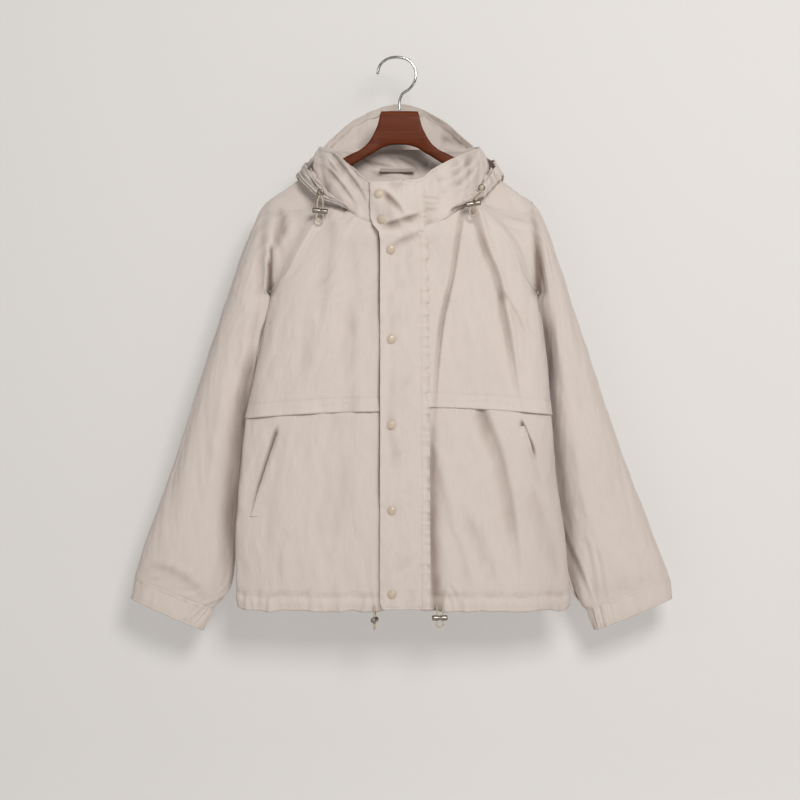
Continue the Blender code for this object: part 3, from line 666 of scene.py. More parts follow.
def waves(u, v, seed):
    """Smooth random heights from -1 to 1; u and v are counted in waves."""
    heights = np.random.default_rng(seed).uniform(-1, 1, (WAVE_TABLE, WAVE_TABLE))
    i = np.floor(u).astype(int)
    j = np.floor(v).astype(int)
    a = ease(u - i)
    b = ease(v - j)
    low, high = [
        heights[i % WAVE_TABLE, k % WAVE_TABLE] * (1 - a) + heights[(i + 1) % WAVE_TABLE, k % WAVE_TABLE] * a
        for k in (j, j + 1)
    ]
    return low * (1 - b) + high * b


def ripples(kind, across, up, seed):
    bend = kind.bend * waves(across / kind.bend_across, up / kind.bend_up, seed + kind.bend_seed)
    return kind.height * waves(across / kind.across + bend, up / kind.up, seed + kind.seed)


def stitched(edge, width, *insets):
    """The fine dips that rows of stitches press into the cloth."""
    return [Seam(edge, inset, STITCH_DIP, width) for inset in insets]


def cloth_height(name, grid, seams=(), puckers=(), drape=1.5, crumple=0.65):
    """Small shapes that all the cloth has: hanging waves, crumples, sewn dips and puckered seams."""
    across = grid_lengths(grid, 1)
    up = grid_lengths(grid, 0)
    seed = SEEDS[name]
    total = drape * ripples(HANGING_WAVES, across, up, seed)
    total = total + crumple * sum(ripples(kind, across, up, seed) for kind in CRUMPLES)
    for seam in seams:
        total = total - seam.depth * bell(edge_distance(grid, seam.edge) - seam.inset, seam.width)
    for pucker in puckers:
        away = edge_distance(grid, pucker.edge)
        along = across if pucker.edge in ("low", "high") else up
        fold = waves(along / pucker.wave, away / (PUCKER_FADE * pucker.reach), seed + PUCKER_SEED)
        total = total + pucker.height * fold * bell(away, pucker.reach)
    return total


# %% [markdown]
# ## Raglan seams
# Two pieces that are sewn together must meet all along their seam. So the small waves fade to
# nothing there, and on both sides of a raglan seam the cloth comes forward until the seam lies flat.

# %% Raglan seams
SEAM_CALM = 18.0
CUFF_CALM = 6.0
SEAM_FILL = 8.0
SEAM_FILL_REACH = 13.0
SEAM_FILL_ENDS = table("z share", (-387, 0), (-330, 1), (-285, 1), (-238, 0))


def off_seam(grid, edge, reach=SEAM_CALM):
    """0 on a seam and 1 a little away from it."""
    return unit(edge_distance(grid, edge) / reach)


def fill_seam(grid, edge, share):
    near = bell(edge_distance(grid, edge), SEAM_FILL_REACH)
    lift = SEAM_FILL * near * share * straight(SEAM_FILL_ENDS, "share", grid[:, :, 2])
    return moved(grid, lift, (0, -1, 0))


# %% [markdown]
# ## Stitch lines
# A sewn edge has one or two rows of stitches a few millimetres in. Each row is kept here as a line
# on the finished cloth, and all of them get their stitches in one go further down.

# %% Stitch lines
STITCH_PROUD = 0.18
stitch_lines = []


def sew(grid, edge, *insets, start=0.0, closed=False):
    """Keeps the lines that run along an edge of a grid, set distances in from it."""
    lifted = push_out(grid, np.full(grid.shape[:2], STITCH_PROUD))
    if edge in ("left", "right"):
        lifted = lifted.swapaxes(0, 1)
    if edge in ("high", "right"):
        lifted = lifted[::-1]
    away = grid_lengths(lifted, 0)
    picks = range(int(start * (lifted.shape[1] - 1)), lifted.shape[1])
    for inset in insets:
        line = [[np.interp(inset, away[:, k], lifted[:, k, axis]) for axis in range(3)] for k in picks]
        stitch_lines.append(np.array(line + line[:1] if closed else line))


# %% [markdown]
# ## Finished pieces
# Each piece rides on the root, and the frame's solid that it stands for is hidden. For cloth, how
# far the finished cloth lies off the smooth panel, before its creases are put in, gives the
# painted fold shade.


def declare(piece, nodes):
    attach(piece, "root")
    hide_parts(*nodes)


def hang_cloth(name, smooth, finished, closed=False, thick=1.2, shade=0.0, full=PAINTED_SHADE_FULL):
    """A finished cloth piece: its mesh and painted shade, in place of the solid it stands for."""
    height = ((finished - smooth) * grid_normals(smooth)).sum(axis=2)
    # painted shade: each side's depth below the cloth around it, plus the painted shade given for the piece
    painted_shade_sides = [unit(painted_fold_shade(side * height, full) + shade) for side in (1, -1)]
    piece = cloth_mesh(name + "_cloth", finished, painted_shade_sides, closed, thick)
    declare(piece, [name])


# %% [markdown]
# ## Cords
# Each cord leaves the hood or the hem as two strands, goes down through a cord lock and turns back
# in a short loop below it. The routes are the frame's own. A curve with a round bevel follows each.

# %% Cords
CORD = 2.4
CORD_SPREAD = 4.8
CORD_STEPS = 90
CORD_ROUND = 4
TAIL_RADIUS = 6.0
TAIL_STEPS = 7
LOCK_CLEAR = 5.8
HEM_INSIDE = 12.0
MID_SPREAD = 0.4
EXIT_SPREAD = 0.25
Cord = namedtuple("Cord", "leave lock turn tail")
CORDS = {
    "hood_left": Cord((-125, -78, -233), (-126, -73, -258), -6, 12),
    "hood_right": Cord((135, -82, -226), (121, -93, -248), 10, 14),
    "hem_left": Cord((-38, -49, -910), (-38, -49, -921), 78, 9),
    "hem_right": Cord((68, -50, -910), (68, -50, -918), 4, 9),
}
DOWN = np.array((0, 0, -1.0))


def lock_axis(name):
    """The way a cord's lock points: flat under the hem, and upright on the hood."""
    turn = math.radians(CORDS[name].turn)
    if name.startswith("hem"):
        return np.array((math.cos(turn), math.sin(turn), 0))
    return np.array((math.cos(turn), 0, math.sin(turn)))


def cord_route(name):
    """A cord's points: down one strand, round the loop below the lock, and up the other strand."""
    leave = np.array(CORDS[name].leave, float)
    lock = np.array(CORDS[name].lock, float)
    across = lock_axis(name)
    bend = lock + DOWN * (LOCK_CLEAR + CORDS[name].tail - TAIL_RADIUS)
    turns = np.linspace(math.pi, 0, TAIL_STEPS)[:, None]
    round_bend = bend + TAIL_RADIUS * (np.cos(turns) * across + np.sin(turns) * DOWN)
    strands = []
    for aside in (-across * CORD_SPREAD, across * CORD_SPREAD):
        top = lock + aside - DOWN * LOCK_CLEAR
        if name.startswith("hem"):
            start = [leave + aside - DOWN * HEM_INSIDE]
        else:
            start = [leave + aside * EXIT_SPREAD, (top + leave) / 2 + aside * MID_SPREAD]
        strands.append([*start, top, lock + aside + DOWN * LOCK_CLEAR])
    return smooth_route([*strands[0], *round_bend, *strands[1][::-1]], CORD_STEPS)


def round_wire(name, route, thick, steps, finish):
    """A round wire or cord along a route: a curve of one spline with a round bevel."""
    data = bpy.data.curves.new(name, "CURVE")
    data.dimensions = "3D"
    data.bevel_depth = thick * MM / 2
    data.bevel_resolution = steps
    data.use_fill_caps = True
    line = data.splines.new("POLY")
    line.points.add(len(route) - 1)
    for point, place in zip(line.points, route):
        point.co = (*(Vector(place) * MM), 1)
    return link_piece(name, data, finish)


cord_pieces = {}
for name in CORDS:
    route = cord_route(name)
    piece = round_wire(name + "_cord_round", route, CORD, CORD_ROUND, cord_finish)
    declare(piece, [name + "_cord", name + "_cord_tail"])
    cord_pieces[name] = (piece, route[0], float(walked(route)[-1]))
    print(name, "cord", round(cord_pieces[name][2], 1), "mm")

# %% [markdown]
# ## Turned pieces
# Cord locks, eyelets and snaps are all round: a profile of radius and height is spun about an axis.
# The rings are joined with loops, closed at both ends, and turned into place.

# %% Turned pieces
SHARP_ANGLE = math.radians(50)


def turned(profile, steps):
    """Points and faces of a profile spun about Z; a radius of zero closes an end with a point."""
    angle = np.arange(steps) * 2 * math.pi / steps
    points = []
    rings = []
    for radius, height in profile:
        first = len(points)
        if rings and (radius, height) == profile[0]:
            rings.append(rings[0])
        elif radius == 0:
            points.append((0, 0, height))
            rings.append([first] * steps)
        else:
            points += [(radius * math.cos(a), radius * math.sin(a), height) for a in angle]
            rings.append(list(range(first, first + steps)))
    faces = []
    for low, high in zip(rings, rings[1:]):
        for j in range(steps):
            k = (j + 1) % steps
            corners = [low[j], low[k], high[k], high[j]]
            faces.append([corner for n, corner in enumerate(corners) if corner not in corners[:n]])
    return np.array(points, float), faces


def turned_piece(name, profile, steps, axis, middle, finish):
    """A turned piece, set along an axis with its middle in place."""
    points, faces = turned(profile, steps)
    turn = np.array(Vector((0, 0, 1)).rotation_difference(Vector(axis)).to_matrix())
    data = smooth_mesh(name, points @ turn.T + middle, faces)
    data.set_sharp_from_angle(angle=SHARP_ANGLE)
    return link_piece(name, data, finish)


print("turned pieces are sharp past", round(math.degrees(SHARP_ANGLE)), "degrees")

# %% [markdown]
# ## Cord locks and eyelets
# A cord lock is a barrel with round ends, a waist for its spring button and fine ribs on both
# halves. The hood's cords come out through a ring of dark metal each.

# %% Cord locks and eyelets
LOCK_RADIUS = 4.6
LOCK_HALF = 12.5
LOCK_STEPS = 28
LOCK_END = [(0, 1.0), (0.62, 1.0), (0.86, 0.95)]
LOCK_RIBS = 8
RIB_DEPTH = 0.05
WAIST_DEPTH = 0.16
WAIST_WIDTH = 0.16
BARREL_WIDE = 0.98
BARREL_LONG = 0.9
EYELET_STEPS = 32
EYELET_OFF = 1.6
EYELET_PROFILE = [
    (2.7, -0.9),
    (3.3, -1.1),
    (5.2, -0.5),
    (5.7, 0.0),
    (5.2, 0.5),
    (3.6, 1.1),
    (2.7, 0.9),
    (2.7, -0.9),
]


def lock_profile():
    ribs = []
    for k in range(-LOCK_RIBS, LOCK_RIBS + 1):
        at = k / (LOCK_RIBS + 1)
        waist = WAIST_DEPTH * bell(at, WAIST_WIDTH)
        ribs.append((BARREL_WIDE - waist - RIB_DEPTH * (k % 2), BARREL_LONG * at))
    ends = [[(wide, side * out) for wide, out in LOCK_END] for side in SIDES]
    return [(wide * LOCK_RADIUS, out * LOCK_HALF) for wide, out in [*ends[0], *ribs, *ends[1][::-1]]]


for name, (cord, start, length) in cord_pieces.items():
    middle = np.array(CORDS[name].lock, float)
    lock = turned_piece(
        name + "_lock_turned", lock_profile(), LOCK_STEPS, lock_axis(name), middle, lock_finish
    )
    declare(lock, [name + "_cord_lock"])
for side in SIDES:
    name = "hood_eyelet_" + side_name(side)
    middle = np.array(CORDS["hood_" + side_name(side)].leave) + (0, CORD / 2 + EYELET_OFF, CORD_SPREAD)
    ring = turned_piece(name + "_ring", EYELET_PROFILE, EYELET_STEPS, (0, -1, 0), middle, eyelet_finish)
    declare(ring, [name])
print("locks and eyelets made")

# %% [markdown]
# ## The hanger
# The hanger is one board, cut to a flat neck and two sloping arms, with all its edges rounded. It
# could be an extruded outline with a bevel, but its thickness grows towards the ends, so slices
# with round corners are joined along its length. The hook is a wire along a route.

# %% The hanger
HANGER_MIDDLE = 2.5
HANGER = table(
    "out top bottom half_thick",
    (0, -87, -142, 7),
    (15, -87, -143, 7),
    (30, -87.5, -148, 7),
    (32, -92, -149, 7),
    (35, -106, -151, 7),
    (41, -121, -155, 7.5),
    (50, -137, -160, 8),
    (63, -149.5, -168, 8.5),
    (80, -158, -178, 9),
    (95, -166.5, -187, 9),
    (110, -178, -197, 9.5),
    (140, -197, -217, 10),
    (170, -217, -238, 10),
    (195, -236, -256, 10),
    (210, -249, -266, 9),
    (214, -254, -262, 6),
)
FLARE = 3
SLICE_BOXY = 5.0
SLICE_POINTS = 32
SLICE_RUNS = [(0, 29, 12), (29.5, 33, 10), (34, 214, 76)]
HOOK_WIRE = 4.6
HOOK_STEPS = 110
HOOK_ROUND = 8
HOOK_ROUTE = [
    (-34, 0, -26),
    (-30, 0, -12),
    (-19, 0, -1.5),
    (0, 0, 2.3),
    (19, 0, -4),
    (29, 0, -20),
    (28, 0, -36),
    (19, 0, -50),
    (8, 0, -58),
    (3, 0, -68),
    (2.5, 0, -86.5),
]


def squircle(angle, full):
    """The two sides of a rounded box at an angle; full says how boxy it is."""
    return [np.sign(part) * np.abs(part) ** (2 / full) for part in (np.cos(angle), np.sin(angle))]


def hanger_slices(out):
    """Rounded slices of the hanger at distances out from its middle."""
    reach = np.abs(out)
    flared = glide(HANGER["out"][FLARE:], HANGER["top"][FLARE:], reach)
    top = np.where(reach > HANGER["out"][FLARE], flared, straight(HANGER, "top", reach))[:, None]
    bottom = curve(HANGER, "bottom", reach)[:, None]
    thick, tall = squircle(np.linspace(0, 2 * math.pi, SLICE_POINTS, endpoint=False), SLICE_BOXY)
    x = np.repeat((out + HANGER_MIDDLE)[:, None], SLICE_POINTS, axis=1)
    y = curve(HANGER, "half_thick", reach)[:, None] * thick
    return np.stack([x, y, (top + bottom) / 2 + (top - bottom) / 2 * tall], axis=2)


half_out = np.concatenate([np.linspace(*run) for run in SLICE_RUNS])
slices = hanger_slices(np.concatenate([-half_out[:0:-1], half_out]))
points = slices.reshape(-1, 3)
hanger_faces = grid_faces(*slices.shape[:2], True).tolist()
hanger_faces += [list(range(SLICE_POINTS))[::-1], list(range(len(points) - SLICE_POINTS, len(points)))]
hanger_data = smooth_mesh("hanger_board", points, hanger_faces)
hanger_data.flip_normals()
hanger_data.set_sharp_from_angle(angle=SHARP_ANGLE)
declare(link_piece("hanger_board", hanger_data, wood_finish), ["hanger_wood"])
hook = round_wire("hook_wire", smooth_route(HOOK_ROUTE, HOOK_STEPS), HOOK_WIRE, HOOK_ROUND, hook_painted_reflections)
declare(hook, ["hanger_hook"])
print("hanger board has", len(hanger_faces), "faces")

# %% [markdown]
# ## Creases of the front
# The creases are those that show: long troughs beside the placket and from the shoulder down,
# softer on the left. The hem is gathered on its cord, so it also has short puckers.

# %% Creases of the front
FRONT_CREASES = [
    Crease(3.4, 8.5, 0.25, [
        (112, -200), (130, -270), (139, -308), (162, -366), (177, -444), (194, -546), (204, -610),
    ]),
    Crease(3, 4.0, 0.3, [(166, -382), (177, -402), (188, -420), (201, -446), (211, -500)]),
    Crease(2.2, 7.0, 0.2, [
        (114, -212), (96, -314), (89, -359), (72, -440), (65, -500), (60, -580), (57, -640),
    ]),
    Crease(6, 10.0, 0.2, [
        (70, -1200), (60, -890), (56, -820), (55, -740), (55, -660), (58, -580), (62, -500),
    ]),
    Crease(7, 3.0, 0.3, [(48, -620), (66, -700), (80, -756), (96, -820)]),
    Crease(9, 3.6, 0.25, [(96, -720), (126, -790), (142, -826), (176, -896)]),
    Crease(7, 3.2, 0.3, [(80, -760), (104, -830), (106, -868), (94, -916)]),
    Crease(9, 3.2, 0.25, [(214, -690), (241, -772), (256, -824), (266, -890)]),
    Crease(9, 3.0, 0.25, [(-130, -226), (-112, -290), (-116, -340), (-124, -400), (-138, -480)]),
    Crease(9, 2.0, 0.25, [(-76, -290), (-72, -380), (-84, -500)]),
    Crease(8, 3.2, 0.25, [(-80, -400), (-76, -450), (-78, -500), (-88, -560)]),
    Crease(8, 2.6, 0.25, [(-146, -410), (-143, -450), (-148, -500), (-156, -560)]),
    Crease(14, 3.4, 0.2, [(-76, -520), (-83, -640), (-89, -690), (-104, -780), (-126, -870)]),
    Crease(11, 1.8, 0.2, [(-190, -590), (-210, -720), (-222, -850)]),
    Crease(8, 2.0, 0.3, [(100, -420), (112, -520), (122, -620)]),
    Crease(2.2, 4.8, 0.0, [(-193, -603), (-199, -622), (-214, -668), (-229, -716), (-244, -764)]),
    Crease(1.8, 5.5, 0.0, [(202, -598), (208, -612), (215, -630), (222, -650), (229, -672)]),
    Crease(2.2, 1.6, 0.0, [(216, -634), (231, -690), (251, -754)]),
]
HEM_PUCKERS = table(
    "x top depth width lean",
    (-252, -872, 1.0, 3.0, 3),
    (-240, -880, 1.3, 2.4, -4),
    (-229, -866, 1.0, 3.2, 5),
    (-213, -878, 1.1, 2.2, 2),
    (-196, -872, 0.7, 3.0, -5),
    (-163, -884, 0.6, 2.4, 3),
    (-128, -880, 0.8, 3.2, -3),
    (-84, -886, 0.7, 2.4, 2),
    (-58, -878, 1.1, 2.6, 6),
    (-43, -870, 1.4, 3.0, -3),
    (72, -862, 1.6, 3.0, 6),
    (84, -868, 2.2, 2.8, -9),
    (93, -858, 2.4, 3.4, -12),
    (103, -876, 1.4, 2.6, -5),
    (141, -884, 0.7, 3.0, 3),
    (176, -880, 0.6, 2.6, -3),
    (222, -884, 0.8, 3.0, 4),
    (251, -876, 1.1, 2.8, -3),
)
PUCKER_RIDGE = 0.5
PUCKER_PAST_HEM = 18.0
LOWER_CREASES = [
    *FRONT_CREASES,
    Crease(6.5, 9.0, 0.1, [(128, -554), (141, -594), (160, -640), (174, -692), (184, -746), (200, -880)]),
]
for x, top, depth, width, lean in zip(*HEM_PUCKERS.values()):
    route = [(x + lean, top), (x, (top + HEM_Z) / 2), (x - lean, HEM_Z - PUCKER_PAST_HEM)]
    LOWER_CREASES.append(Crease(width, depth, PUCKER_RIDGE, route))
print(len(LOWER_CREASES), "creases on the fronts")

# %% [markdown]
# ## Front panels
# Each front is cut in two at the chest. The upper cut ends in a free edge that lies over the lower
# one. The hem's line is raised at the side seams and under the placket, and a little wavy.

# %% Front panels
PANEL_COLUMNS = 150
UPPER_ROWS = 116
LOWER_ROWS = 112
FLAP_HEIGHTS = {-1: (-582, -594), 1: (-575, -588)}
FLAP_OVERLAP = 14.0
HEM_CORNER_LIFT = 9.0
HEM_CORNER_REACH = 13.0
HEM_NOTCH_LIFT = 9.0
HEM_NOTCH_REACH = 32.0
HEM_SHAPE_REACH = 34.0
HEM_WAVE = 19.0
HEM_WAVE_START = 40
HEM_WAVE_HEIGHT = 1.9


def front_grid(side, middle, edge, rows):
    """A front between two heights at its middle and two at its seam."""
    heights = [np.linspace(*ends, rows + 1) for ends in (middle, edge)]
    grid = half_panel(FRONT, side, *heights, PANEL_COLUMNS)
    return grid if side > 0 else grid[:, ::-1]


def upper_grid(side):
    middle, edge = FLAP_HEIGHTS[side]
    return front_grid(side, (middle, FRONT.neck_z), (edge, RAGLAN_FRONT["z"][-1]), UPPER_ROWS)


def lower_grid(side):
    middle, edge = FLAP_HEIGHTS[side]
    return front_grid(side, (HEM_Z, middle + FLAP_OVERLAP), (HEM_Z, edge + FLAP_OVERLAP), LOWER_ROWS)


def shape_hem(grid, seam_edges, notch, seed):
    """Bends the hem's line."""
    x = grid[:, :, 0]
    lift = HEM_WAVE_HEIGHT * waves(x / HEM_WAVE + HEM_WAVE_START, np.zeros(x.shape), seed)
    for edge in seam_edges:
        lift = lift + HEM_CORNER_LIFT * bell(edge_distance(grid, edge), HEM_CORNER_REACH)
    lift = lift + notch * bell(((x - MIDDLE) / HEM_NOTCH_REACH) ** 2, 1)
    return moved(grid, lift * bell(edge_distance(grid, "low"), HEM_SHAPE_REACH), (0, 0, 1))


print("front panels of", PANEL_COLUMNS, "columns")

# %% [markdown]
# ## Painted shade of the front
# Some places get more painted shade than their depth below the cloth around them gives: under the
# placket's free edge, in the pocket openings, beside the placket, down the right side of the lower
# right front, along the puckered hem line and in the corner of the underarm. This painted shade is
# given here and goes into the same attribute as the painted fold shade.

# %% Shades of the front
# painted shadow under the placket's free edge, by height
FREE_EDGE_SHADE = table(
    "z x dark",
    (-904, -30.5, 0.5),
    (-743, -30.0, 0.3),
    (-680, -30.0, 0.8),
    (-604, -29.5, 0.3),
    (-540, -29.5, 0.6),
    (-465, -29.5, 0.3),
    (-400, -29.5, 0.7),
    (-330, -30.0, 0.9),
    (-300, -31.0, 1.3),
    (-284, -40.0, 1.3),
)
FREE_EDGE_SHADE_WIDTH = 3.4
# painted shade lines: pocket openings, beside the placket, and the lower right side
LOWER_SHADES = [
    Crease(1.9, 0.8, 0.0, [(-194, -600), (-198.5, -616), (-214, -664), (-229, -710), (-245, -764)]),
    Crease(1.9, 1.4, 0.0, [(200, -592), (204, -604), (213, -624), (221, -640), (228, -660)]),
    Crease(4.5, 0.35, 0.0, [
        (70, -1200), (59, -890), (55, -820), (54, -740), (54, -660), (57, -580), (62, -480),
    ]),
    Crease(22, 0.16, 0.0, [(262, -520), (268, -640), (274, -760), (282, -960), (290, -1200)]),
]
HEM_LINE = 28.0
HEM_LINE_WIDTH = 3.0
HEM_LINE_SHADE = 0.14
HEM_TICK = 7.0
HEM_TICK_SHARE = 0.8
CORNER_REACH = 7.0
CORNER_SINK = 5.0
# painted shade at the underarm's corner, on the fronts and the sleeves
CORNER_SHADE = {-1: 0.35, 1: 0.7}


def free_edge_shade(grid):
    """The painted shadow that the placket's free edge leaves on the left front."""
    place, dark = [straight(FREE_EDGE_SHADE, part, grid[:, :, 2]) for part in ("x", "dark")]
    return dark * bell(grid[:, :, 0] - place, FREE_EDGE_SHADE_WIDTH)


def lower_shade(grid):
    """Painted shade: pocket openings, the trough beside the placket, the lower right side, the hem line."""
    uneven = waves(grid[:, :, 0] / HEM_TICK, grid[:, :, 2] / HEM_LINE, SEEDS["hem_ticks"])
    ticks = 1 + HEM_TICK_SHARE * uneven
    line = bell(edge_distance(grid, "low") - HEM_LINE, HEM_LINE_WIDTH)
    return HEM_LINE_SHADE * ticks * line - crease_height(grid, LOWER_SHADES)


def near_underarm(grid, side):
    """1 at the front corner of the underarm, falling to 0 within a finger's width."""
    corner = edge_x(side, UNDERARM_Z, RAGLAN_FRONT)
    return bell(np.hypot(grid[:, :, 0] - corner, grid[:, :, 2] - UNDERARM_Z), CORNER_REACH)


print(len(LOWER_SHADES), "shades on the lower fronts")

# %% [markdown]
# ## Fronts
# Each upper front stands a few millimetres proud at its free edge, so that it throws a thin shadow
# on the lower one. Two rows of stitches follow the raglan seam, and two the hem.

# %% Fronts
FLAP_LIFT = 3.0
FLAP_LIFT_HEIGHT = 60.0
FLAP_STITCH = 24.0
RAGLAN_STITCHES = (5.0, 11.0)
RAGLAN_STITCH_START = 0.64
HEM_STITCHES = (24.5, 31.5)
HEM_SEAMS = (Seam("low", 0, -0.4, 3), Seam("low", 13, -2.0, 9), *stitched("low", 1.6, *HEM_STITCHES))
UPPER_PUCKERS = (Pucker("low", 0.7, 22, 14), Pucker("high", 0.8, 14, 16))
LOWER_PUCKERS = (Pucker("low", 1.5, 9, 32), Pucker("low", 1.2, 21, 40))
lower_fronts = {}
for side in SIDES:
    edge = side_name(side)
    name = f"front_{edge}_upper"
    smooth = upper_grid(side)
    seams = [Seam(edge, 0, SEAM_DIP, SEAM_WIDTH), Seam("high", 0, SEAM_DIP, SEAM_WIDTH)]
    seams += stitched("low", 1.6, FLAP_STITCH) + stitched(edge, 1.6, *RAGLAN_STITCHES)
    height = cloth_height(name, smooth, seams, UPPER_PUCKERS) + crease_height(smooth, FRONT_CREASES)
    lift = FLAP_LIFT * unit(1 - edge_distance(smooth, "low") / FLAP_LIFT_HEIGHT) ** 2
    finished = fill_seam(push_out(smooth, off_seam(smooth, edge) * height + lift), edge, 1.0)
    corner = near_underarm(smooth, side)
    finished = moved(finished, CORNER_SINK * corner, (0, 1, 0))
    # painted shade under the placket's free edge and at the underarm's corner
    hang_cloth(name, smooth, finished, shade=free_edge_shade(smooth) + CORNER_SHADE[side] * corner)
    sew(finished, "low", FLAP_STITCH)
    sew(finished, edge, *RAGLAN_STITCHES, start=RAGLAN_STITCH_START)

    name = f"front_{edge}_lower"
    smooth = shape_hem(lower_grid(side), (edge,), HEM_NOTCH_LIFT, SEEDS["front_hem"])
    seams = (*HEM_SEAMS, Seam(edge, 0, SEAM_DIP, SEAM_WIDTH))
    height = cloth_height(name, smooth, seams, LOWER_PUCKERS) + crease_height(smooth, LOWER_CREASES)
    lower_fronts[side] = push_out(smooth, height)
    # painted shade under the free edge, in the pockets, beside the placket and on the hem line
    hang_cloth(name, smooth, lower_fronts[side], shade=free_edge_shade(smooth) + lower_shade(smooth))
    sew(lower_fronts[side], "low", *HEM_STITCHES)

# %% [markdown]
# ## Back
# The back is one panel. It isn't seen from the front, so it gets plain hanging folds of the same
# kind and the same hem.

# %% Back
BACK_COLUMNS = 100
BACK_ROWS = 120
BACK_CREASES = [
    Crease(16, 4.0, 0.4, [(-150, -420), (-162, -540), (-176, -680)]),
    Crease(15, 4.0, 0.4, [(150, -410), (170, -520), (180, -650)]),
    Crease(20, 3.0, 0.3, [(-60, -440), (-66, -600), (-58, -800)]),
    Crease(20, 3.0, 0.3, [(66, -430), (60, -620), (74, -820)]),
    Crease(14, 2.0, 0.3, [(0, -560), (6, -700), (-4, -860)]),
    Crease(12, 2.0, 0.3, [(-200, -700), (-206, -790), (-214, -880)]),
    Crease(12, 2.0, 0.3, [(206, -690), (214, -790), (220, -880)]),
]


def back_grid():
    heights = [np.linspace(HEM_Z, top, BACK_ROWS + 1) for top in (BACK.neck_z, RAGLAN_BACK["z"][-1])]
    left, right = [half_panel(BACK, side, *heights, BACK_COLUMNS // 2) for side in SIDES]
    return np.concatenate([right[:, :0:-1], left], axis=1)


smooth = shape_hem(back_grid(), ("left", "right"), 0.0, SEEDS["back_hem"])
seams = (*HEM_SEAMS, Seam("left", 0, SEAM_DIP, SEAM_WIDTH), Seam("right", 0, SEAM_DIP, SEAM_WIDTH))
small = cloth_height("back", smooth, seams, (Pucker("low", 1.1, 13, 30),))
back_cloth = push_out(smooth, small + crease_height(smooth, BACK_CREASES))
hang_cloth("back", smooth, back_cloth)
sew(back_cloth, "low", *HEM_STITCHES)

# %% [markdown]
# ## Sleeves: shape
# A raglan sleeve starts at the armhole's slanted seams and the neck, and becomes a flattened tube
# that narrows to the cuff. Rings between an outer and an inner edge give the tube, and near the
# seam each ring is bent until it meets the armhole.

# %% Sleeve shape
SLEEVE_ROWS = 136
RAGLAN_STEPS = 84
NECK_STEPS = 26
FINE_STEPS = 400
SLEEVE_ROUND = 2.2
SLEEVE_SETTLED = np.array((3.0, 2.0, 3.0))
SLEEVE = table(
    "step outer_z outer_left outer_right inner_z inner_left inner_right mid depth",
    (0, -184, -138, 147, -387, -208, 226, -3, 44),
    (1, -213, -181, 185, -393, -216, 234, 2, 45),
    (2, -241, -222, 225, -406, -219, 237, 6, 46),
    (3, -281, -241, 246, -429, -218, 236, 9, 47),
    (4, -331, -261, 264, -463, -221, 237, 11, 48),
    (5, -445, -299, 301, -534, -235, 244, 13, 48),
    (6, -563, -337, 340, -626, -250, 251, 14, 46),
    (7, -669, -370, 377, -719, -260, 261, 15, 43),
    (8, -776, -409, 418, -824, -270, 276, 15, 38),
    (9, -831, -428, 440, -877, -280, 289, 15, 33),
    (10, -856, -436, 449, -909, -306, 310, 14, 25),
)
NECK_SIDE = {-1: (-138, -6, -184), 1: (147, -6, -184)}


def seam_loop(side):
    """The armhole: down the front raglan seam, up the back one, and over the shoulder at the neck."""
    seams = []
    for raglan in (RAGLAN_FRONT, RAGLAN_BACK):
        z = np.linspace(UNDERARM_Z, raglan["z"][-1], RAGLAN_STEPS + 1)
        seams.append(np.stack([edge_x(side, z, raglan), edge_y(z, raglan), z], axis=1))
    front = seams[0][::-1]
    back = seams[1][1:]
    neck = smooth_route([back[-1], NECK_SIDE[side], front[0]], NECK_STEPS + 1)[1:-1]
    return np.concatenate([front, back, neck])


def ring_section(shape, side, step, count):
    """One section of a sleeve or cuff: a flattened ring between its outer and inner edge."""
    angle = math.pi + (np.arange(count) - RAGLAN_STEPS) * 2 * math.pi / count
    across, through = squircle(angle, SLEEVE_ROUND)
    ring = [curve(shape, "mid", step) - curve(shape, "depth", step) * through]
    for part in (side_name(side), "z"):
        outer, inner = [curve(shape, end + part, step) for end in ("outer_", "inner_")]
        ring.append((outer + inner) / 2 + (outer - inner) / 2 * across)
    y, x, z = ring
    return np.stack([x, y, z], axis=1)


def sleeve_steps():
    """Steps down the sleeve that lie evenly along its middle."""
    fine = np.linspace(0, SLEEVE["step"][-1], FINE_STEPS)
    outer, inner = [
        np.stack([curve(SLEEVE, end + part, fine) for part in ("_left", "_z")], axis=1)
        for end in ("outer", "inner")
    ]
    run = walked((outer + inner) / 2)
    return np.interp(np.linspace(0, run[-1], SLEEVE_ROWS + 1), run, fine)


def sleeve_grid(side):
    loop = seam_loop(side)
    first = ring_section(SLEEVE, side, 0, len(loop))
    rows = []
    for step in sleeve_steps():
        share = ease(unit(step / SLEEVE_SETTLED))
        rows.append(ring_section(SLEEVE, side, step, len(loop)) + (loop - first) * (1 - share))
    grid = np.stack(rows)
    return grid if side > 0 else grid[:, ::-1]


print("sleeve rings of", len(seam_loop(1)), "points")

# %% [markdown]
# ## Sleeves: creases and gathers
# The left sleeve has a deep hook-shaped fold where it hangs from the shoulder, and both fall in
# long soft folds. At the cuff the cloth is gathered at the inner end, so short folds run up from
# it there. Just below the underarm the sleeve lies against the body.

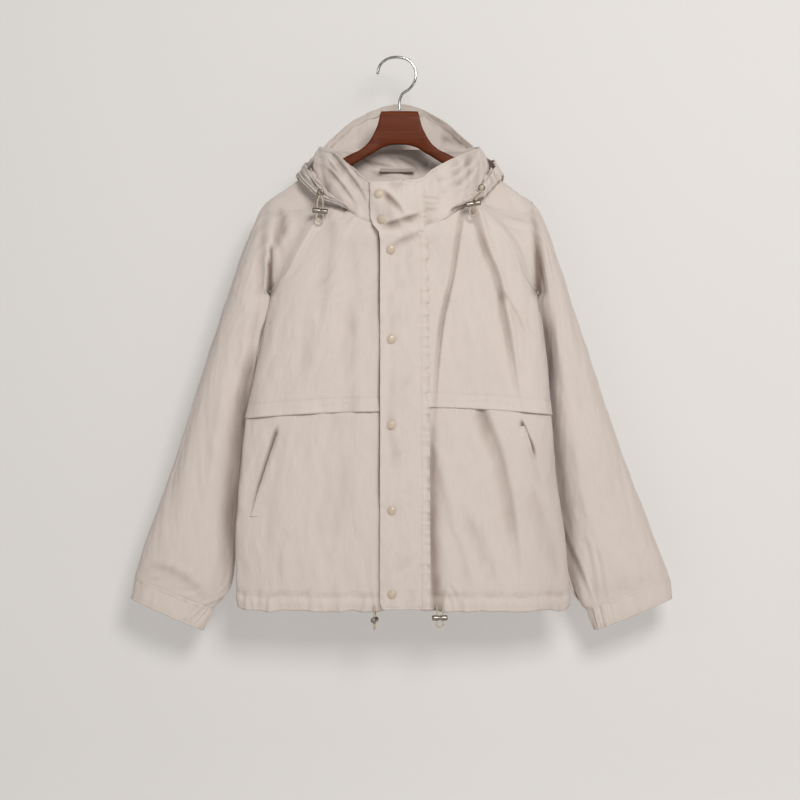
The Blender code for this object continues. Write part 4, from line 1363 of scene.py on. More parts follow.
# %% Sleeve creases
SLEEVE_CREASES = {
    -1: [
        Crease(2.2, 12.0, 0.3, [
            (-228, -500), (-219, -440), (-213, -392), (-211, -356),
            (-208, -324), (-203, -300), (-197, -276), (-193, -256),
        ]),
        Crease(5, 4.0, 0.35, [
            (-203, -246), (-191, -256), (-186, -268), (-186, -280), (-192, -300), (-201, -324),
        ]),
        Crease(7, 14.0, 0.0, [
            (-232, -470), (-246, -540), (-257, -600), (-263, -639), (-272, -728), (-277, -800), (-283, -930),
        ]),
        Crease(5, 4.5, 0.3, [(-214, -216), (-221, -300), (-226, -380), (-236, -470), (-246, -560)]),
        Crease(9, 2.0, 0.3, [(-250, -380), (-268, -490), (-284, -610)]),
        Crease(9, 2.0, 0.3, [(-296, -540), (-312, -640), (-330, -770)]),
        Crease(8, 2.0, 0.3, [(-290, -680), (-306, -770), (-318, -870)]),
        Crease(6, 3.0, 0.4, [(-420, -832), (-362, -852), (-338, -870), (-310, -912)]),
    ],
    1: [
        Crease(5, 9.5, 0.25, [
            (252, -560), (239, -430), (231, -390), (228, -340), (225, -290), (221, -250), (214, -190),
        ]),
        Crease(7, 12.5, 0.0, [
            (288, -1080), (279, -820), (266, -728), (257, -639), (251, -563),
            (246, -494), (236, -420), (229, -340), (222, -260), (210, -120),
        ]),
        Crease(9, 2.2, 0.3, [(246, -290), (258, -400), (278, -520)]),
        Crease(9, 2.0, 0.3, [(280, -460), (300, -580), (322, -690)]),
        Crease(8, 2.0, 0.3, [(276, -610), (290, -720), (308, -850)]),
        Crease(3, 5.0, 0.4, [(258, -740), (274, -784), (290, -822), (306, -860), (326, -916)]),
        Crease(8, 2.0, 0.3, [(350, -630), (374, -740), (394, -840)]),
        Crease(4, 3.0, 0.5, [(304, -780), (319, -846), (332, -920)]),
        Crease(4, 2.4, 0.5, [(322, -796), (334, -856), (346, -920)]),
    ],
}
# painted shade along the sleeves' fold lines and in the cleft by the body
SLEEVE_SHADES = {
    -1: [
        Crease(1.5, 1.2, 0.0, [
            (-219, -470), (-214, -410), (-211.5, -368), (-208.5, -330), (-203, -300), (-199, -284),
        ]),
        Crease(4.5, 0.45, 0.0, [
            (-204, -240), (-192, -252), (-187, -266), (-187, -280), (-193, -300), (-203, -326),
        ]),
        Crease(7, 0.35, 0.0, [(-246, -520), (-257, -600), (-265, -680), (-272, -760), (-278, -900)]),
    ],
    1: [
        Crease(6, 0.24, 0.0, [
            (276, -1000), (270, -780), (258, -660), (251, -563),
            (244, -480), (232, -400), (226, -320), (220, -220),
        ]),
    ],
}
GATHER_HEIGHT = 2.4
GATHER_FROM = 1.1
GATHER_FALL = 2.2
GATHER_LONG = 70.0
UNDERARM_CLOSE = table("z shift", (-455, 0), (-430, 6), (-405, 10), (-393, 7), (-388, 0))
UNDERARM_REACH = 16.0
SEAM_TUCK = 3.0
SEAM_SINK = 1.2


def gathers(grid, side, edge, wave, reach):
    """Short folds at the inner end of a cuff seam, fading along the sleeve."""
    name = side_name(side)
    inner, outer = [SLEEVE[end + name][-1] for end in ("inner_", "outer_")]
    inward = unit(GATHER_FROM - np.abs((grid[:, :, 0] - inner) / (outer - inner)) * GATHER_FALL)
    away = edge_distance(grid, edge)
    fold = waves(grid_lengths(grid, 1) / wave, away / GATHER_LONG, SEEDS["gathers_" + name])
    return GATHER_HEIGHT * fold * inward * bell(away, reach)


def close_underarm(grid, side):
    """Brings the sleeve's inner side to the body just below the underarm."""
    z = grid[:, :, 2]
    away = np.clip(side * (grid[:, :, 0] - edge_x(side, z, RAGLAN_FRONT)), 0, None)
    return moved(grid, straight(UNDERARM_CLOSE, "shift", z) * bell(away, UNDERARM_REACH), (-side, 0, 0))


def tuck_under(grid, outward):
    """Adds a first row that runs on a little under the neighbouring piece."""
    run = grid[0] - grid[1]
    run /= np.linalg.norm(run, axis=1, keepdims=True)
    first = grid[0] + SEAM_TUCK * run - SEAM_SINK * outward * grid_normals(grid)[0]
    return np.concatenate([first[None], grid])


print({side_name(side): len(SLEEVE_CREASES[side]) for side in SIDES}, "creases on the sleeves")

# %% [markdown]
# ## Sleeves
# The creases are pressed in along Y, so that they show from the front where they were placed. The
# back of each sleeve gets the same ones, moved a little.

# %% Sleeves
FRONT_SHARP = 3
HIDDEN_SHIFT = 26.0
SLEEVE_GATHER_WAVE = 7.0
SLEEVE_GATHER_REACH = 60.0
FOLD_END_HIGH = 10.0
FOLD_END_LOW = 16.0
for side in SIDES:
    name = "sleeve_" + side_name(side)
    smooth = sleeve_grid(side)
    front_share = np.clip(FRONT_SHARP * facing(smooth), -1, 1)
    ends = off_seam(smooth, "high", FOLD_END_HIGH) * off_seam(smooth, "low", FOLD_END_LOW)
    in_front = ends * unit(front_share)
    folds = crease_height(smooth, SLEEVE_CREASES[side])
    hidden = crease_height(smooth + HIDDEN_SHIFT * np.array((side, 0, 1)), SLEEVE_CREASES[side])
    seams = (Seam("low", 0, SEAM_DIP, SEAM_WIDTH),)
    small = cloth_height(name, smooth, seams, (Pucker("low", 0.6, 16, 16),), drape=1.0)
    small = small + gathers(smooth, side, "high", SLEEVE_GATHER_WAVE, SLEEVE_GATHER_REACH)
    calm = off_seam(smooth, "low") * off_seam(smooth, "high", CUFF_CALM)
    finished = push_out(smooth, calm * small)
    finished = moved(finished, hidden * ends * unit(-front_share) - folds * in_front, (0, 1, 0))
    finished = close_underarm(finished, side)
    on_front_seam = (np.arange(smooth.shape[1]) <= RAGLAN_STEPS).astype(float)
    finished = fill_seam(finished, "low", on_front_seam if side > 0 else on_front_seam[::-1])
    # painted shade: at the underarm's corner and along the sleeve's fold lines, on its front
    dark = CORNER_SHADE[side] * near_underarm(smooth, side)
    dark = dark - crease_height(smooth, SLEEVE_SHADES[side]) * in_front
    tucked = [tuck_under(tuck_under(grid, 1)[::-1], -1)[::-1] for grid in (smooth, finished)]
    hang_cloth(name, *tucked, closed=True, shade=np.pad(dark, ((1, 1), (0, 0)), mode="edge"))

# %% [markdown]
# ## Cuffs
# Each cuff is a band as wide as two fingers: flat and stitched along both edges on its outer part,
# and drawn in on elastic at the inner end.

# %% Cuffs
CUFF_ROWS = 16
CUFF_COLUMNS = 280
CUFF_THICK = 2.0
CUFF_STITCH = 4.0
CUFF_GATHER = 0.9
CUFF_GATHER_WAVE = 3.4
CUFF_GATHER_REACH = 400.0
CUFF = table(
    "step outer_z outer_left outer_right inner_z inner_left inner_right mid depth",
    (0, -855.5, -435.8, 448.9, -908.6, -305.9, 309.9, 14, 25.2),
    (1, -891, -443, 454, -944.5, -322, 325, 14, 23.5),
)
CUFF_SEAMS = (
    Seam("high", 0, -0.4, 3),
    *stitched("low", 1.4, CUFF_STITCH),
    *stitched("high", 1.4, CUFF_STITCH),
)
for side in SIDES:
    name = "cuff_" + side_name(side)
    steps = np.linspace(0, 1, CUFF_ROWS + 1)
    rings = np.stack([ring_section(CUFF, side, step, CUFF_COLUMNS) for step in steps])
    smooth = rings if side > 0 else rings[:, ::-1]
    folds = CUFF_GATHER * gathers(smooth, side, "low", CUFF_GATHER_WAVE, CUFF_GATHER_REACH)
    small = cloth_height(name, smooth, CUFF_SEAMS, drape=0.4) + folds
    finished = push_out(smooth, off_seam(smooth, "low", CUFF_CALM) * small)
    hang_cloth(name, smooth, finished, closed=True, thick=CUFF_THICK)
    sew(finished, "low", CUFF_STITCH, closed=True)
    sew(finished, "high", CUFF_STITCH, closed=True)

# %% [markdown]
# ## Collar: shape
# The collar stands up from the neck seam, leans out a little in the middle of its height, and dips
# at the front where the placket closes over it.

# %% Collar shape
COLLAR_COLUMNS = 320
COLLAR_ROWS = 48
COLLAR_BULGE = 5.0
COLLAR_TUCK = -1.5
NECK_MIDDLE = (MIDDLE, -20, 0)
NECK_TURN_Y = -22.0
COLLAR_TOP = table(
    "turn x y z",
    (0, 8, -91, -210),
    (20, -44, -84, -212),
    (35, -75, -63, -186),
    (55, -98, -41, -164),
    (90, -130, 0, -147),
    (135, -95, 32, -145),
    (180, 5, 47, -145),
    (225, 104, 32, -145),
    (270, 134, 0, -147),
    (305, 97, -46, -167),
    (325, 58, -73, -189),
    (340, 38, -87, -206),
    (360, 8, -91, -210),
)


def neck_line():
    """The neck seam, once round from the front middle by the left, the back and the right."""
    left, right = [upper_grid(side)[-1][::-1] for side in SIDES]
    over_left, over_right = [seam_loop(side)[-NECK_STEPS + 1 :] for side in SIDES]
    return np.concatenate([left, over_left[::-1], back_grid()[-1][::-1], over_right, right])


def even_steps(line, count):
    along = walked(line)
    at = np.linspace(0, along[-1], count)
    return np.stack([np.interp(at, along, column) for column in line.T], axis=1)


def turn_about_neck(points):
    """The angle of each point about the neck, from the front by the left."""
    turn = np.degrees(np.arctan2(MIDDLE - points[:, 0], NECK_TURN_Y - points[:, 1]))
    turn = np.where(turn < 0, turn + 360, turn)
    turn[0] = 0
    turn[-1] = 360
    return turn


def collar_grid():
    base = even_steps(neck_line(), COLLAR_COLUMNS + 1)
    turn = turn_about_neck(base)
    top = np.stack([curve(COLLAR_TOP, axis, turn) for axis in "xyz"], axis=1)
    base = base + (0, 0, COLLAR_TUCK)
    outward = (base - NECK_MIDDLE) * (1, 1, 0)
    outward /= np.linalg.norm(outward, axis=1, keepdims=True)
    share = np.linspace(0, 1, COLLAR_ROWS + 1)[:, None, None]
    return base + (top - base) * share + COLLAR_BULGE * np.sin(math.pi * share) * outward


print("collar rings of", COLLAR_COLUMNS, "columns")

# %% [markdown]
# ## Collar
# The collar is two layers, so its wall is thicker and its folds are fine. Some of them are on the
# inside of its back, which shows under the hanger. Painted shade darkens it where the hood's ends
# lie on it.

# %% Collar
COLLAR_PROUD = 0.6
COLLAR_THICK = 2.0
COLLAR_STITCH = 5.0
COLLAR_SHADE = 1.2
COLLAR_SHADE_WIDTH = 8.0
HOOD_END_FROM = 70.0
HOOD_END_FADE = 20.0
FINE_PAINTED_SHADE_FULL = 6.0
COLLAR_CREASES = [
    Crease(3.2, 4.0, 0.4, [(-28, -222), (-20, -232), (-8, -244), (4, -258), (10, -268)]),
    Crease(3.2, 4.0, 0.4, [(-34, -286), (-10, -280), (14, -273), (36, -265), (52, -258)]),
    Crease(2.2, 2.4, 0.3, [(34, -234), (54, -239), (76, -236)]),
    Crease(2.2, 2.4, 0.3, [(34, -244), (54, -248), (76, -244)]),
    Crease(2.2, 2.4, 0.3, [(34, -254), (54, -256), (74, -252)]),
    Crease(3.4, 4.0, 0.3, [(-116, -152), (-96, -178), (-80, -200), (-62, -226), (-46, -256)]),
    Crease(2.8, 3.5, 0.3, [(-122, -180), (-100, -206), (-82, -230), (-64, -254)]),
    Crease(2.6, 2.5, 0.3, [(-86, -170), (-72, -192), (-58, -212)]),
    Crease(2.2, 2.0, 0.3, [(-118, -168), (-106, -186), (-94, -200)]),
    Crease(4.0, 4.0, 0.3, [(136, -152), (108, -184), (84, -202), (52, -214)]),
    Crease(3.4, 3.6, 0.3, [(132, -178), (106, -206), (84, -224), (58, -236)]),
    Crease(3.0, 2.6, 0.3, [(112, -166), (92, -182), (66, -194)]),
    Crease(2.2, 2.0, 0.3, [(124, -196), (104, -216), (90, -226)]),
    Crease(4, 2.5, 0.3, [(-30, -208), (-4, -216), (24, -212)]),
]
COLLAR_BACK_CREASES = [
    Crease(3, 3.2, 0.3, [(-66, -158), (-40, -168), (-18, -173), (6, -180)]),
    Crease(3, 2.6, 0.3, [(-52, -178), (-30, -188), (-6, -194)]),
    Crease(2.4, 2.4, 0.3, [(-10, -156), (14, -164), (30, -174), (38, -194)]),
    Crease(3, 2.4, 0.3, [(60, -158), (48, -172), (44, -190)]),
]
smooth = collar_grid()[:, ::-1]
seams = [Seam("low", 0, -0.2, 3), Seam("high", 0, -0.5, 3)]
seams += stitched("high", 1.5, COLLAR_STITCH) + stitched("low", 1.5, COLLAR_STITCH)
small = cloth_height("collar", smooth, seams, (Pucker("low", 1.4, 11, 18),), drape=1.6, crumple=0.7)
in_front = unit(facing(smooth))
folds = crease_height(smooth, COLLAR_CREASES) * in_front
folds = folds - crease_height(smooth, COLLAR_BACK_CREASES) * unit(-facing(smooth))
collar_cloth = push_out(smooth, small + folds + COLLAR_PROUD)
# painted shade along the neck seam, where the hood's ends lie on the collar
beside_hood = unit((np.abs(smooth[:, :, 0] - MIDDLE) - HOOD_END_FROM) / HOOD_END_FADE) * in_front
shade = COLLAR_SHADE * beside_hood * bell(edge_distance(smooth, "low"), COLLAR_SHADE_WIDTH)
hang_cloth("collar", smooth, collar_cloth, thick=COLLAR_THICK, shade=shade, full=FINE_PAINTED_SHADE_FULL)
sew(collar_cloth, "high", COLLAR_STITCH)
sew(collar_cloth, "low", COLLAR_STITCH)

# %% [markdown]
# ## Placket: shape
# The placket is one strip that covers the front opening from the collar's top to the hem. It
# follows the body, and above the neck seam the collar, and stands a little off both.

# %% Placket shape
PLACKET_COLUMNS = 56
PLACKET_ROWS = 360
PLACKET_LIFT = 2.4
PLACKET_THICK = 1.6
PLACKET = table(
    "z left right",
    (-904, -25, 53),
    (-893, -30, 53),
    (-600, -29, 52),
    (-305, -29, 50),
    (-292, -31, 48),
    (-282, -40, 47),
    (-270, -45, 46),
    (-240, -46, 45),
    (-212, -46, 44),
)
NECK_RISE = 53.0
NECK_HALF = 120.0
NECK_BLEND = 16.0
FLAP_MIDDLE_Z = -580.0
SEWN_FROM = -1.2
SEWN_DOWN = 0.6
SEWN_DOWN_COLLAR = 0.3
COLLAR_SAMPLES = 8


def collar_front_y(x, z):
    """The depth of the collar's front, between the neck seam and the collar's top edge."""
    grid = collar_grid()
    near = COLLAR_COLUMNS // 4
    front = np.concatenate([grid[:, near:0:-1], grid[:, :-near:-1]], axis=1)
    front = front[:: COLLAR_ROWS // COLLAR_SAMPLES]
    rows_y, rows_z = [np.stack([np.interp(x, row[:, 0], row[:, axis]) for row in front]) for axis in (1, 2)]
    share = (np.clip(z, rows_z[0], rows_z[-1]) - rows_z[0]) / (rows_z[-1] - rows_z[0]) * COLLAR_SAMPLES
    rows = np.arange(COLLAR_SAMPLES + 1).reshape(-1, 1, 1)
    return (rows_y * unit(1 - np.abs(share - rows))).sum(axis=0)


def placket_grid():
    z = np.linspace(PLACKET["z"][0], PLACKET["z"][-1], PLACKET_ROWS + 1)
    left, right = [straight(PLACKET, edge, z)[:, None] for edge in ("left", "right")]
    x = left + (right - left) * np.linspace(0, 1, PLACKET_COLUMNS + 1)
    z = np.repeat(z[:, None], PLACKET_COLUMNS + 1, axis=1)
    neck_z = FRONT.neck_z + NECK_RISE * (np.abs(x - MIDDLE) / NECK_HALF) ** FRONT.neck_curve
    body = depth_at(x, np.minimum(z, neck_z), FRONT)
    over = unit((z - neck_z) / NECK_BLEND + 0.5)
    y = body + (np.minimum(collar_front_y(x, z), body) - body) * ease(over)
    flap = FLAP_LIFT * bell(z - FLAP_MIDDLE_Z, FLAP_LIFT_HEIGHT)
    sewn = unit(np.linspace(SEWN_FROM, 1, PLACKET_COLUMNS + 1)) ** 2
    stand = (PLACKET_LIFT + PLACKET_THICK) * (1 - sewn * (SEWN_DOWN + SEWN_DOWN_COLLAR * over))
    return np.stack([x, y - stand - flap, z], axis=2)


print("placket from", PLACKET["z"][0], "to", PLACKET["z"][-1], "mm")

# %% [markdown]
# ## Placket
# The placket is sewn down along its right side with two rows of stitches. Its left edge is free,
# held by the snaps, so it stands off a little between them and most near the collar.

# %% Placket
SNAP_PLACES = [
    (-31, -232),
    (-26, -272),
    (-12, -321),
    (-10.5, -465),
    (-10.5, -604),
    (-10, -743),
    (-9.5, -879),
]
SNAP_SINK = 0.7
SNAP_SINK_REACH = 11.0
SNAP_HOLDS = 45.0
SNAP_HELD = 0.15
FREE_EDGE_LIFT = 2.6
FREE_EDGE_REACH = 13.0
FREE_EDGE_WAVE = 40.0
FREE_EDGE_UNEVEN = 0.5
GAPE = 1.6
GAPE_Z = -296.0
GAPE_REACH = 30.0
PLACKET_STITCHES = (3.0, 14.0)
PLACKET_HIGH_STITCH = 5.0
PLACKET_LOW_STITCH = 4.0
PLACKET_CREASES = [
    *COLLAR_CREASES[:2],
    COLLAR_CREASES[-1],
    Crease(4.5, 1.8, 0.9, [(-14, -318), (0, -308), (16, -301), (34, -293), (48, -288)]),
    Crease(6, 1.4, 0.3, [(36, -316), (20, -330), (2, -352)]),
    Crease(6, 1.0, 0.3, [(-24, -420), (-4, -430), (24, -424)]),
    Crease(6, 1.2, 0.3, [(30, -500), (12, -540), (-6, -560)]),
    Crease(6, 1.0, 0.3, [(-20, -640), (4, -650), (26, -640)]),
    Crease(6, 1.2, 0.3, [(-4, -742), (14, -736), (34, -716)]),
    Crease(6, 1.6, 0.4, [(40, -800), (10, -834), (-24, -852)]),
    Crease(6, 1.2, 0.3, [(-4, -882), (16, -874), (36, -880)]),
]
# painted shade along the placket's folds near the collar
PLACKET_SHADES = [
    Crease(3.2, 0.4, 0.0, [(-18, -321), (0, -309), (16, -302), (34, -294), (56, -285)]),
    Crease(2.6, 0.4, 0.0, [(-26, -225), (-20, -230), (-8, -243), (1, -254), (8, -264), (12, -276)]),
    Crease(4.5, 0.22, 0.0, [(-23, -220), (-17, -240), (-14, -256), (-12, -272), (-12, -302)]),
    Crease(4.0, 0.25, 0.0, [(-30, -284), (-10, -280), (8, -274), (26, -268), (48, -261)]),
]
PLACKET_PUCKERS = (Pucker("right", 1.5, 5.0, 14), Pucker("left", 0.6, 8, 7))
smooth = placket_grid()
x = smooth[:, :, 0]
z = smooth[:, :, 2]
seams = [Seam("right", 0, 1.2, 3), Seam("left", 0, 0.4, 2)]
seams += stitched("right", 1.4, *PLACKET_STITCHES) + stitched("low", 1.4, PLACKET_LOW_STITCH)
small = cloth_height("placket", smooth, seams, PLACKET_PUCKERS, drape=0.8)
uneven = FREE_EDGE_UNEVEN * waves(z / FREE_EDGE_WAVE, np.zeros(z.shape), SEEDS["placket_edge"])
gape = 1 + GAPE * bell(z - GAPE_Z, GAPE_REACH) + uneven
held = np.clip(np.min([np.abs(z - snap_z) for _, snap_z in SNAP_PLACES], axis=0) / SNAP_HOLDS, SNAP_HELD, 1)
stand_off = FREE_EDGE_LIFT * gape * np.exp(-edge_distance(smooth, "left") / FREE_EDGE_REACH) * held
sunk = sum(bell(np.hypot(x - snap_x, z - snap_z), SNAP_SINK_REACH) for snap_x, snap_z in SNAP_PLACES)
folds = crease_height(smooth, PLACKET_CREASES)
placket_cloth = push_out(smooth, small + folds + stand_off - SNAP_SINK * sunk)
# painted shade from the placket's shade routes
shade = -crease_height(smooth, PLACKET_SHADES)
hang_cloth("placket", smooth, placket_cloth, thick=PLACKET_THICK, shade=shade, full=FINE_PAINTED_SHADE_FULL)
sew(placket_cloth, "right", *PLACKET_STITCHES)
sew(placket_cloth, "high", PLACKET_HIGH_STITCH)
sew(placket_cloth, "low", PLACKET_LOW_STITCH)

# %% [markdown]
# ## Pocket welts
# A slanted pocket opening is bound with a narrow welt. Each lies on its front, so it is made from
# the front's own finished points, moved out.

# %% Pocket welts
WELT_ENDS = {-1: ((-241, -754), (-196, -616)), 1: ((249, -744), (206, -606))}
WELT_ROWS = 56
WELT_COLUMNS = 8
WELT_WIDTH = 15.0
WELT_PROUD = 2.6
WELT_SUNK = 0.7
WELT_OPEN_REACH = 6.0
WELT_SEAMS = (Seam("left", 2.5, 0.3, 1.2), Seam("right", 2.5, 0.3, 1.2))
WELT_GAPE = table(
    "share left right",
    (0, 0.0, 0.0),
    (0.12, 0.55, 0.1),
    (0.6, 0.9, 0.15),
    (0.8, 1.0, 0.9),
    (0.95, 0.9, 1.1),
    (1, 0.3, 0.4),
)
NEAREST = 6
NEAREST_SOFT = 0.3


def on_front(x, z, side):
    """The finished lower front's depth at places seen from the front, by the nearest grid points."""
    flat = lower_fronts[side].reshape(-1, 3)
    depth = np.empty_like(x)
    for index in np.ndindex(x.shape):
        away = np.hypot(flat[:, 0] - x[index], flat[:, 2] - z[index])
        near = np.argpartition(away, NEAREST)[:NEAREST]
        weight = 1 / (away[near] + NEAREST_SOFT)
        depth[index] = (flat[near, 1] * weight).sum() / weight.sum()
    return depth


for side in SIDES:
    edge = side_name(side)
    name = "pocket_welt_" + edge
    low, top = np.array(WELT_ENDS[side], float)
    share = np.linspace(0, 1, WELT_ROWS + 1)[:, None]
    line = low + (top - low) * share
    across = np.linspace(0, 1, WELT_COLUMNS + 1)
    x = line[:, :1] - side * WELT_WIDTH * (across if side < 0 else across[::-1])
    z = np.repeat(line[:, 1:], len(across), axis=1)
    smooth = np.stack([x, on_front(x, z, side), z], axis=2)
    small = cloth_height(name, smooth, WELT_SEAMS, drape=0.2)
    gape = WELT_PROUD * straight(WELT_GAPE, edge, share) * bell(edge_distance(smooth, edge), WELT_OPEN_REACH)
    hang_cloth(name, smooth, push_out(smooth, small + gape - WELT_SUNK))

# %% [markdown]
# ## Hood
# The hood hangs behind the neck as an open bag: down from the neck seam, round its lowest fold and
# up to a rim that stands behind the hanger. Its ends are gathered beside the collar.

# %% Hood
HOOD_COLUMNS = 260
HOOD_ROWS = 72
HOOD = table(
    "turn base_x base_y base_z fold_x fold_y fold_z rim_x rim_y rim_z",
    (0.00, -80, -75, -252, -85, -80, -260, -85, -87, -250),
    (0.06, -109, -55, -229, -121, -62, -243, -118, -72, -228),
    (0.13, -136, -24, -197, -157, -30, -208, -148, -40, -189),
    (0.18, -143, -2, -182, -165, -2, -193, -152, -8, -173),
    (0.25, -132, 26, -186, -161, 40, -214, -150, 46, -165),
    (0.32, -90, 47, -197, -128, 70, -310, -121, 76, -133),
    (0.40, -45, 52, -203, -68, 78, -372, -76, 86, -91),
    (0.50, 5, 53, -205, 5, 82, -392, 3, 90, -63),
    (0.60, 54, 52, -202, 74, 78, -372, 74, 86, -90),
    (0.68, 100, 47, -196, 134, 70, -310, 115, 76, -126),
    (0.75, 141, 26, -185, 169, 40, -214, 150, 46, -160),
    (0.82, 152, -2, -181, 172, -2, -192, 158, -8, -172),
    (0.87, 148, -24, -194, 165, -30, -206, 157, -40, -187),
    (0.94, 128, -58, -222, 134, -64, -238, 131, -74, -223),
    (1.00, 88, -82, -252, 91, -87, -261, 91, -94, -251),
)
HOOD_STOPS = np.array([0, 0.25, 0.45, 0.7, 1.0])
HOOD_INNER = (0.5, 0.25, 0.5)
HOOD_OUTER = (0.45, 0.9, 0.45)
HOOD_TAPER = 0.07
HOOD_TIP = 0.35
HOOD_CREASES = [
    Crease(6, 5.0, 0.3, [(-30, -70), (-66, -92), (-90, -108), (-116, -130), (-140, -154)]),
    Crease(5, 4.0, 0.3, [(-40, -98), (-70, -114), (-92, -128), (-124, -152)]),
    Crease(5, 3.0, 0.3, [(60, -100), (84, -112), (104, -122), (134, -142)]),
    Crease(4, 3.0, 0.3, [(58, -114), (80, -122), (98, -128), (124, -144)]),
    Crease(4, 3.0, 0.3, [(40, -78), (66, -92), (96, -104)]),
]
RUCHE_HEIGHT = 2.4
RUCHE_WAVE = 7.0
RUCHE_LONG = 60.0
RUCHE_ENDS = 0.27
RUCHE_FADE = 0.1


def hood_section(turn, along):
    """One section of the hood: down from the neck, round its lowest fold and up to its rim."""
    base, fold, rim = [
        np.array([curve(HOOD, part + axis, turn) for axis in "xyz"]) for part in ("base_", "fold_", "rim_")
    ]
    inner = base + (fold - base) * HOOD_INNER
    outer = fold + (rim - fold) * HOOD_OUTER
    tip = HOOD_TIP + (1 - HOOD_TIP) * min(turn / HOOD_TAPER, (1 - turn) / HOOD_TAPER, 1)
    stops = base + (np.stack([base, inner, fold, outer, rim]) - base) * tip
    return np.stack([glide(HOOD_STOPS, column, along) for column in stops.T], axis=-1)


turns = np.linspace(1, 0, HOOD_COLUMNS + 1)
smooth = np.stack([hood_section(turn, np.linspace(0, 1, HOOD_ROWS + 1)) for turn in turns], axis=1)
small = cloth_height(
    "hood", smooth, (Seam("high", 0, -0.4, 3),), (Pucker("high", 1.8, 9, 34),), drape=1.4, crumple=0.6
)
folds = crease_height(smooth, HOOD_CREASES) * unit(-facing(smooth))
at_ends = unit((RUCHE_ENDS - np.minimum(turns, 1 - turns)) / RUCHE_FADE)
across = grid_lengths(smooth, 1) / RUCHE_WAVE
ruche = RUCHE_HEIGHT * at_ends * waves(across, grid_lengths(smooth, 0) / RUCHE_LONG, SEEDS["hood_ends"])
hood_cloth = push_out(smooth, small - folds + ruche)
hang_cloth("hood", smooth, hood_cloth, full=FINE_PAINTED_SHADE_FULL)

# %% [markdown]
# ## Hood casing
# A band along the hood's rim holds its cord. It follows the finished hood and stands a little proud
# of it. It has painted shade, more on its right part, and a thin line of it along its lower edge.

# %% Hood casing
CASING_WIDTH = 15.0
CASING_ROWS = 12
CASING_ENDS = (0.28, 0.72)
CASING_PROUD = 1.8
CASING_LOW_EDGE = 1.0
CASING_EDGE_REACH = 3.0
CASING_WAVE = 9.0
CASING_LONG = 40.0
CASING_UNEVEN = 0.4
CASING_STITCHES = {"low": 1.8, "high": 2.5}
# painted shade: browner on the casing's right part, and a thin line along its low edge
RIM_SHADE = table("turn dark", (0.28, 0.1), (0.5, 0.12), (0.56, 0.3), (0.66, 0.4), (0.72, 0.25))
RIM_LINE_SHADE = 0.5
RIM_LINE_WIDTH = 2.0
banded = np.flatnonzero((turns > CASING_ENDS[0]) & (turns < CASING_ENDS[1]))[::-1]
from_rim = edge_distance(hood_cloth, "high")[::-1, banded]
rim_cloth = hood_cloth[::-1, banded]
inset = np.linspace(CASING_WIDTH, 0, CASING_ROWS + 1)
strips = [
    [np.interp(inset, from_rim[:, k], rim_cloth[:, k, axis]) for axis in range(3)]
    for k in range(len(banded))
]
smooth = np.array(strips).transpose(2, 0, 1)
from_low = edge_distance(smooth, "low")
proud = CASING_PROUD + (CASING_LOW_EDGE - CASING_PROUD) * np.exp(-from_low / CASING_EDGE_REACH)
across = grid_lengths(smooth, 1) / CASING_WAVE
uneven = CASING_UNEVEN * waves(across, grid_lengths(smooth, 0) / CASING_LONG, SEEDS["hood_casing"])
casing_cloth = push_out(smooth, proud + uneven)
shade = straight(RIM_SHADE, "dark", turns[banded])[None] + RIM_LINE_SHADE * bell(from_low, RIM_LINE_WIDTH)
hang_cloth("hood_casing", smooth, casing_cloth, shade=shade)
for edge, inset in CASING_STITCHES.items():
    sew(casing_cloth, edge, inset)

# %% [markdown]
# ## Hanging tape
# A short tape is sewn inside the back of the collar. It stands off a little in the middle, so that
# a peg can go through it. Its colour is darkened all over with painted shade.

# %% Hanging tape
TAPE_HALF = 29.0
TAPE_Z = -180.0
TAPE_HALF_WIDTH = 3.0
TAPE_ROWS = 6
TAPE_COLUMNS = 40
TAPE_OFF = 3.6
TAPE_BOW = 1.2
# painted shade over the whole tape
TAPE_SHADE = 0.5
tape_x = np.linspace(-TAPE_HALF, TAPE_HALF, TAPE_COLUMNS + 1)
bow = TAPE_OFF + TAPE_BOW * np.cos(tape_x / TAPE_HALF * math.pi / 2)
tape_y = curve(COLLAR_TOP, "y", 180 - tape_x) - bow
tape_z = TAPE_Z + np.linspace(-TAPE_HALF_WIDTH, TAPE_HALF_WIDTH, TAPE_ROWS + 1)
smooth = np.stack([np.stack([tape_x, tape_y, np.full_like(tape_x, height)], axis=1) for height in tape_z])
small = cloth_height("neck_tape", smooth, drape=0.1, crumple=0.15)
hang_cloth("neck_tape", smooth, push_out(smooth, small), shade=TAPE_SHADE)

# %% [markdown]
# ## Geometry Nodes: helpers
# Pieces that repeat are placed by Geometry Nodes. A tree is built here as a node group with named
# inputs, which a modifier sets by their identifiers. The result is kept as a plain mesh.

# %% Geometry Nodes helpers


def start_tree(name, inputs):
    """A Geometry Nodes tree with a geometry in, a geometry out and named inputs."""
    inputs = [("Geometry", "Geometry", None), *inputs, ("Finish", "Material", None)]
    return start_group(name, "GeometryNodeTree", inputs, [("Geometry", "Geometry")])


def end_tree(tree, tree_in, tree_out, instances):
    """Ends a tree: its instances become real geometry with the tree's finish."""
    whole = add_node(tree, "GeometryNodeRealizeInstances", geometry=instances.outputs["Instances"])
    finish = tree_in.outputs["Finish"]
    dyed = add_node(tree, "GeometryNodeSetMaterial", geometry=whole.outputs["Geometry"], material=finish)
    set_node(tree, tree_out, geometry=dyed.outputs["Geometry"])


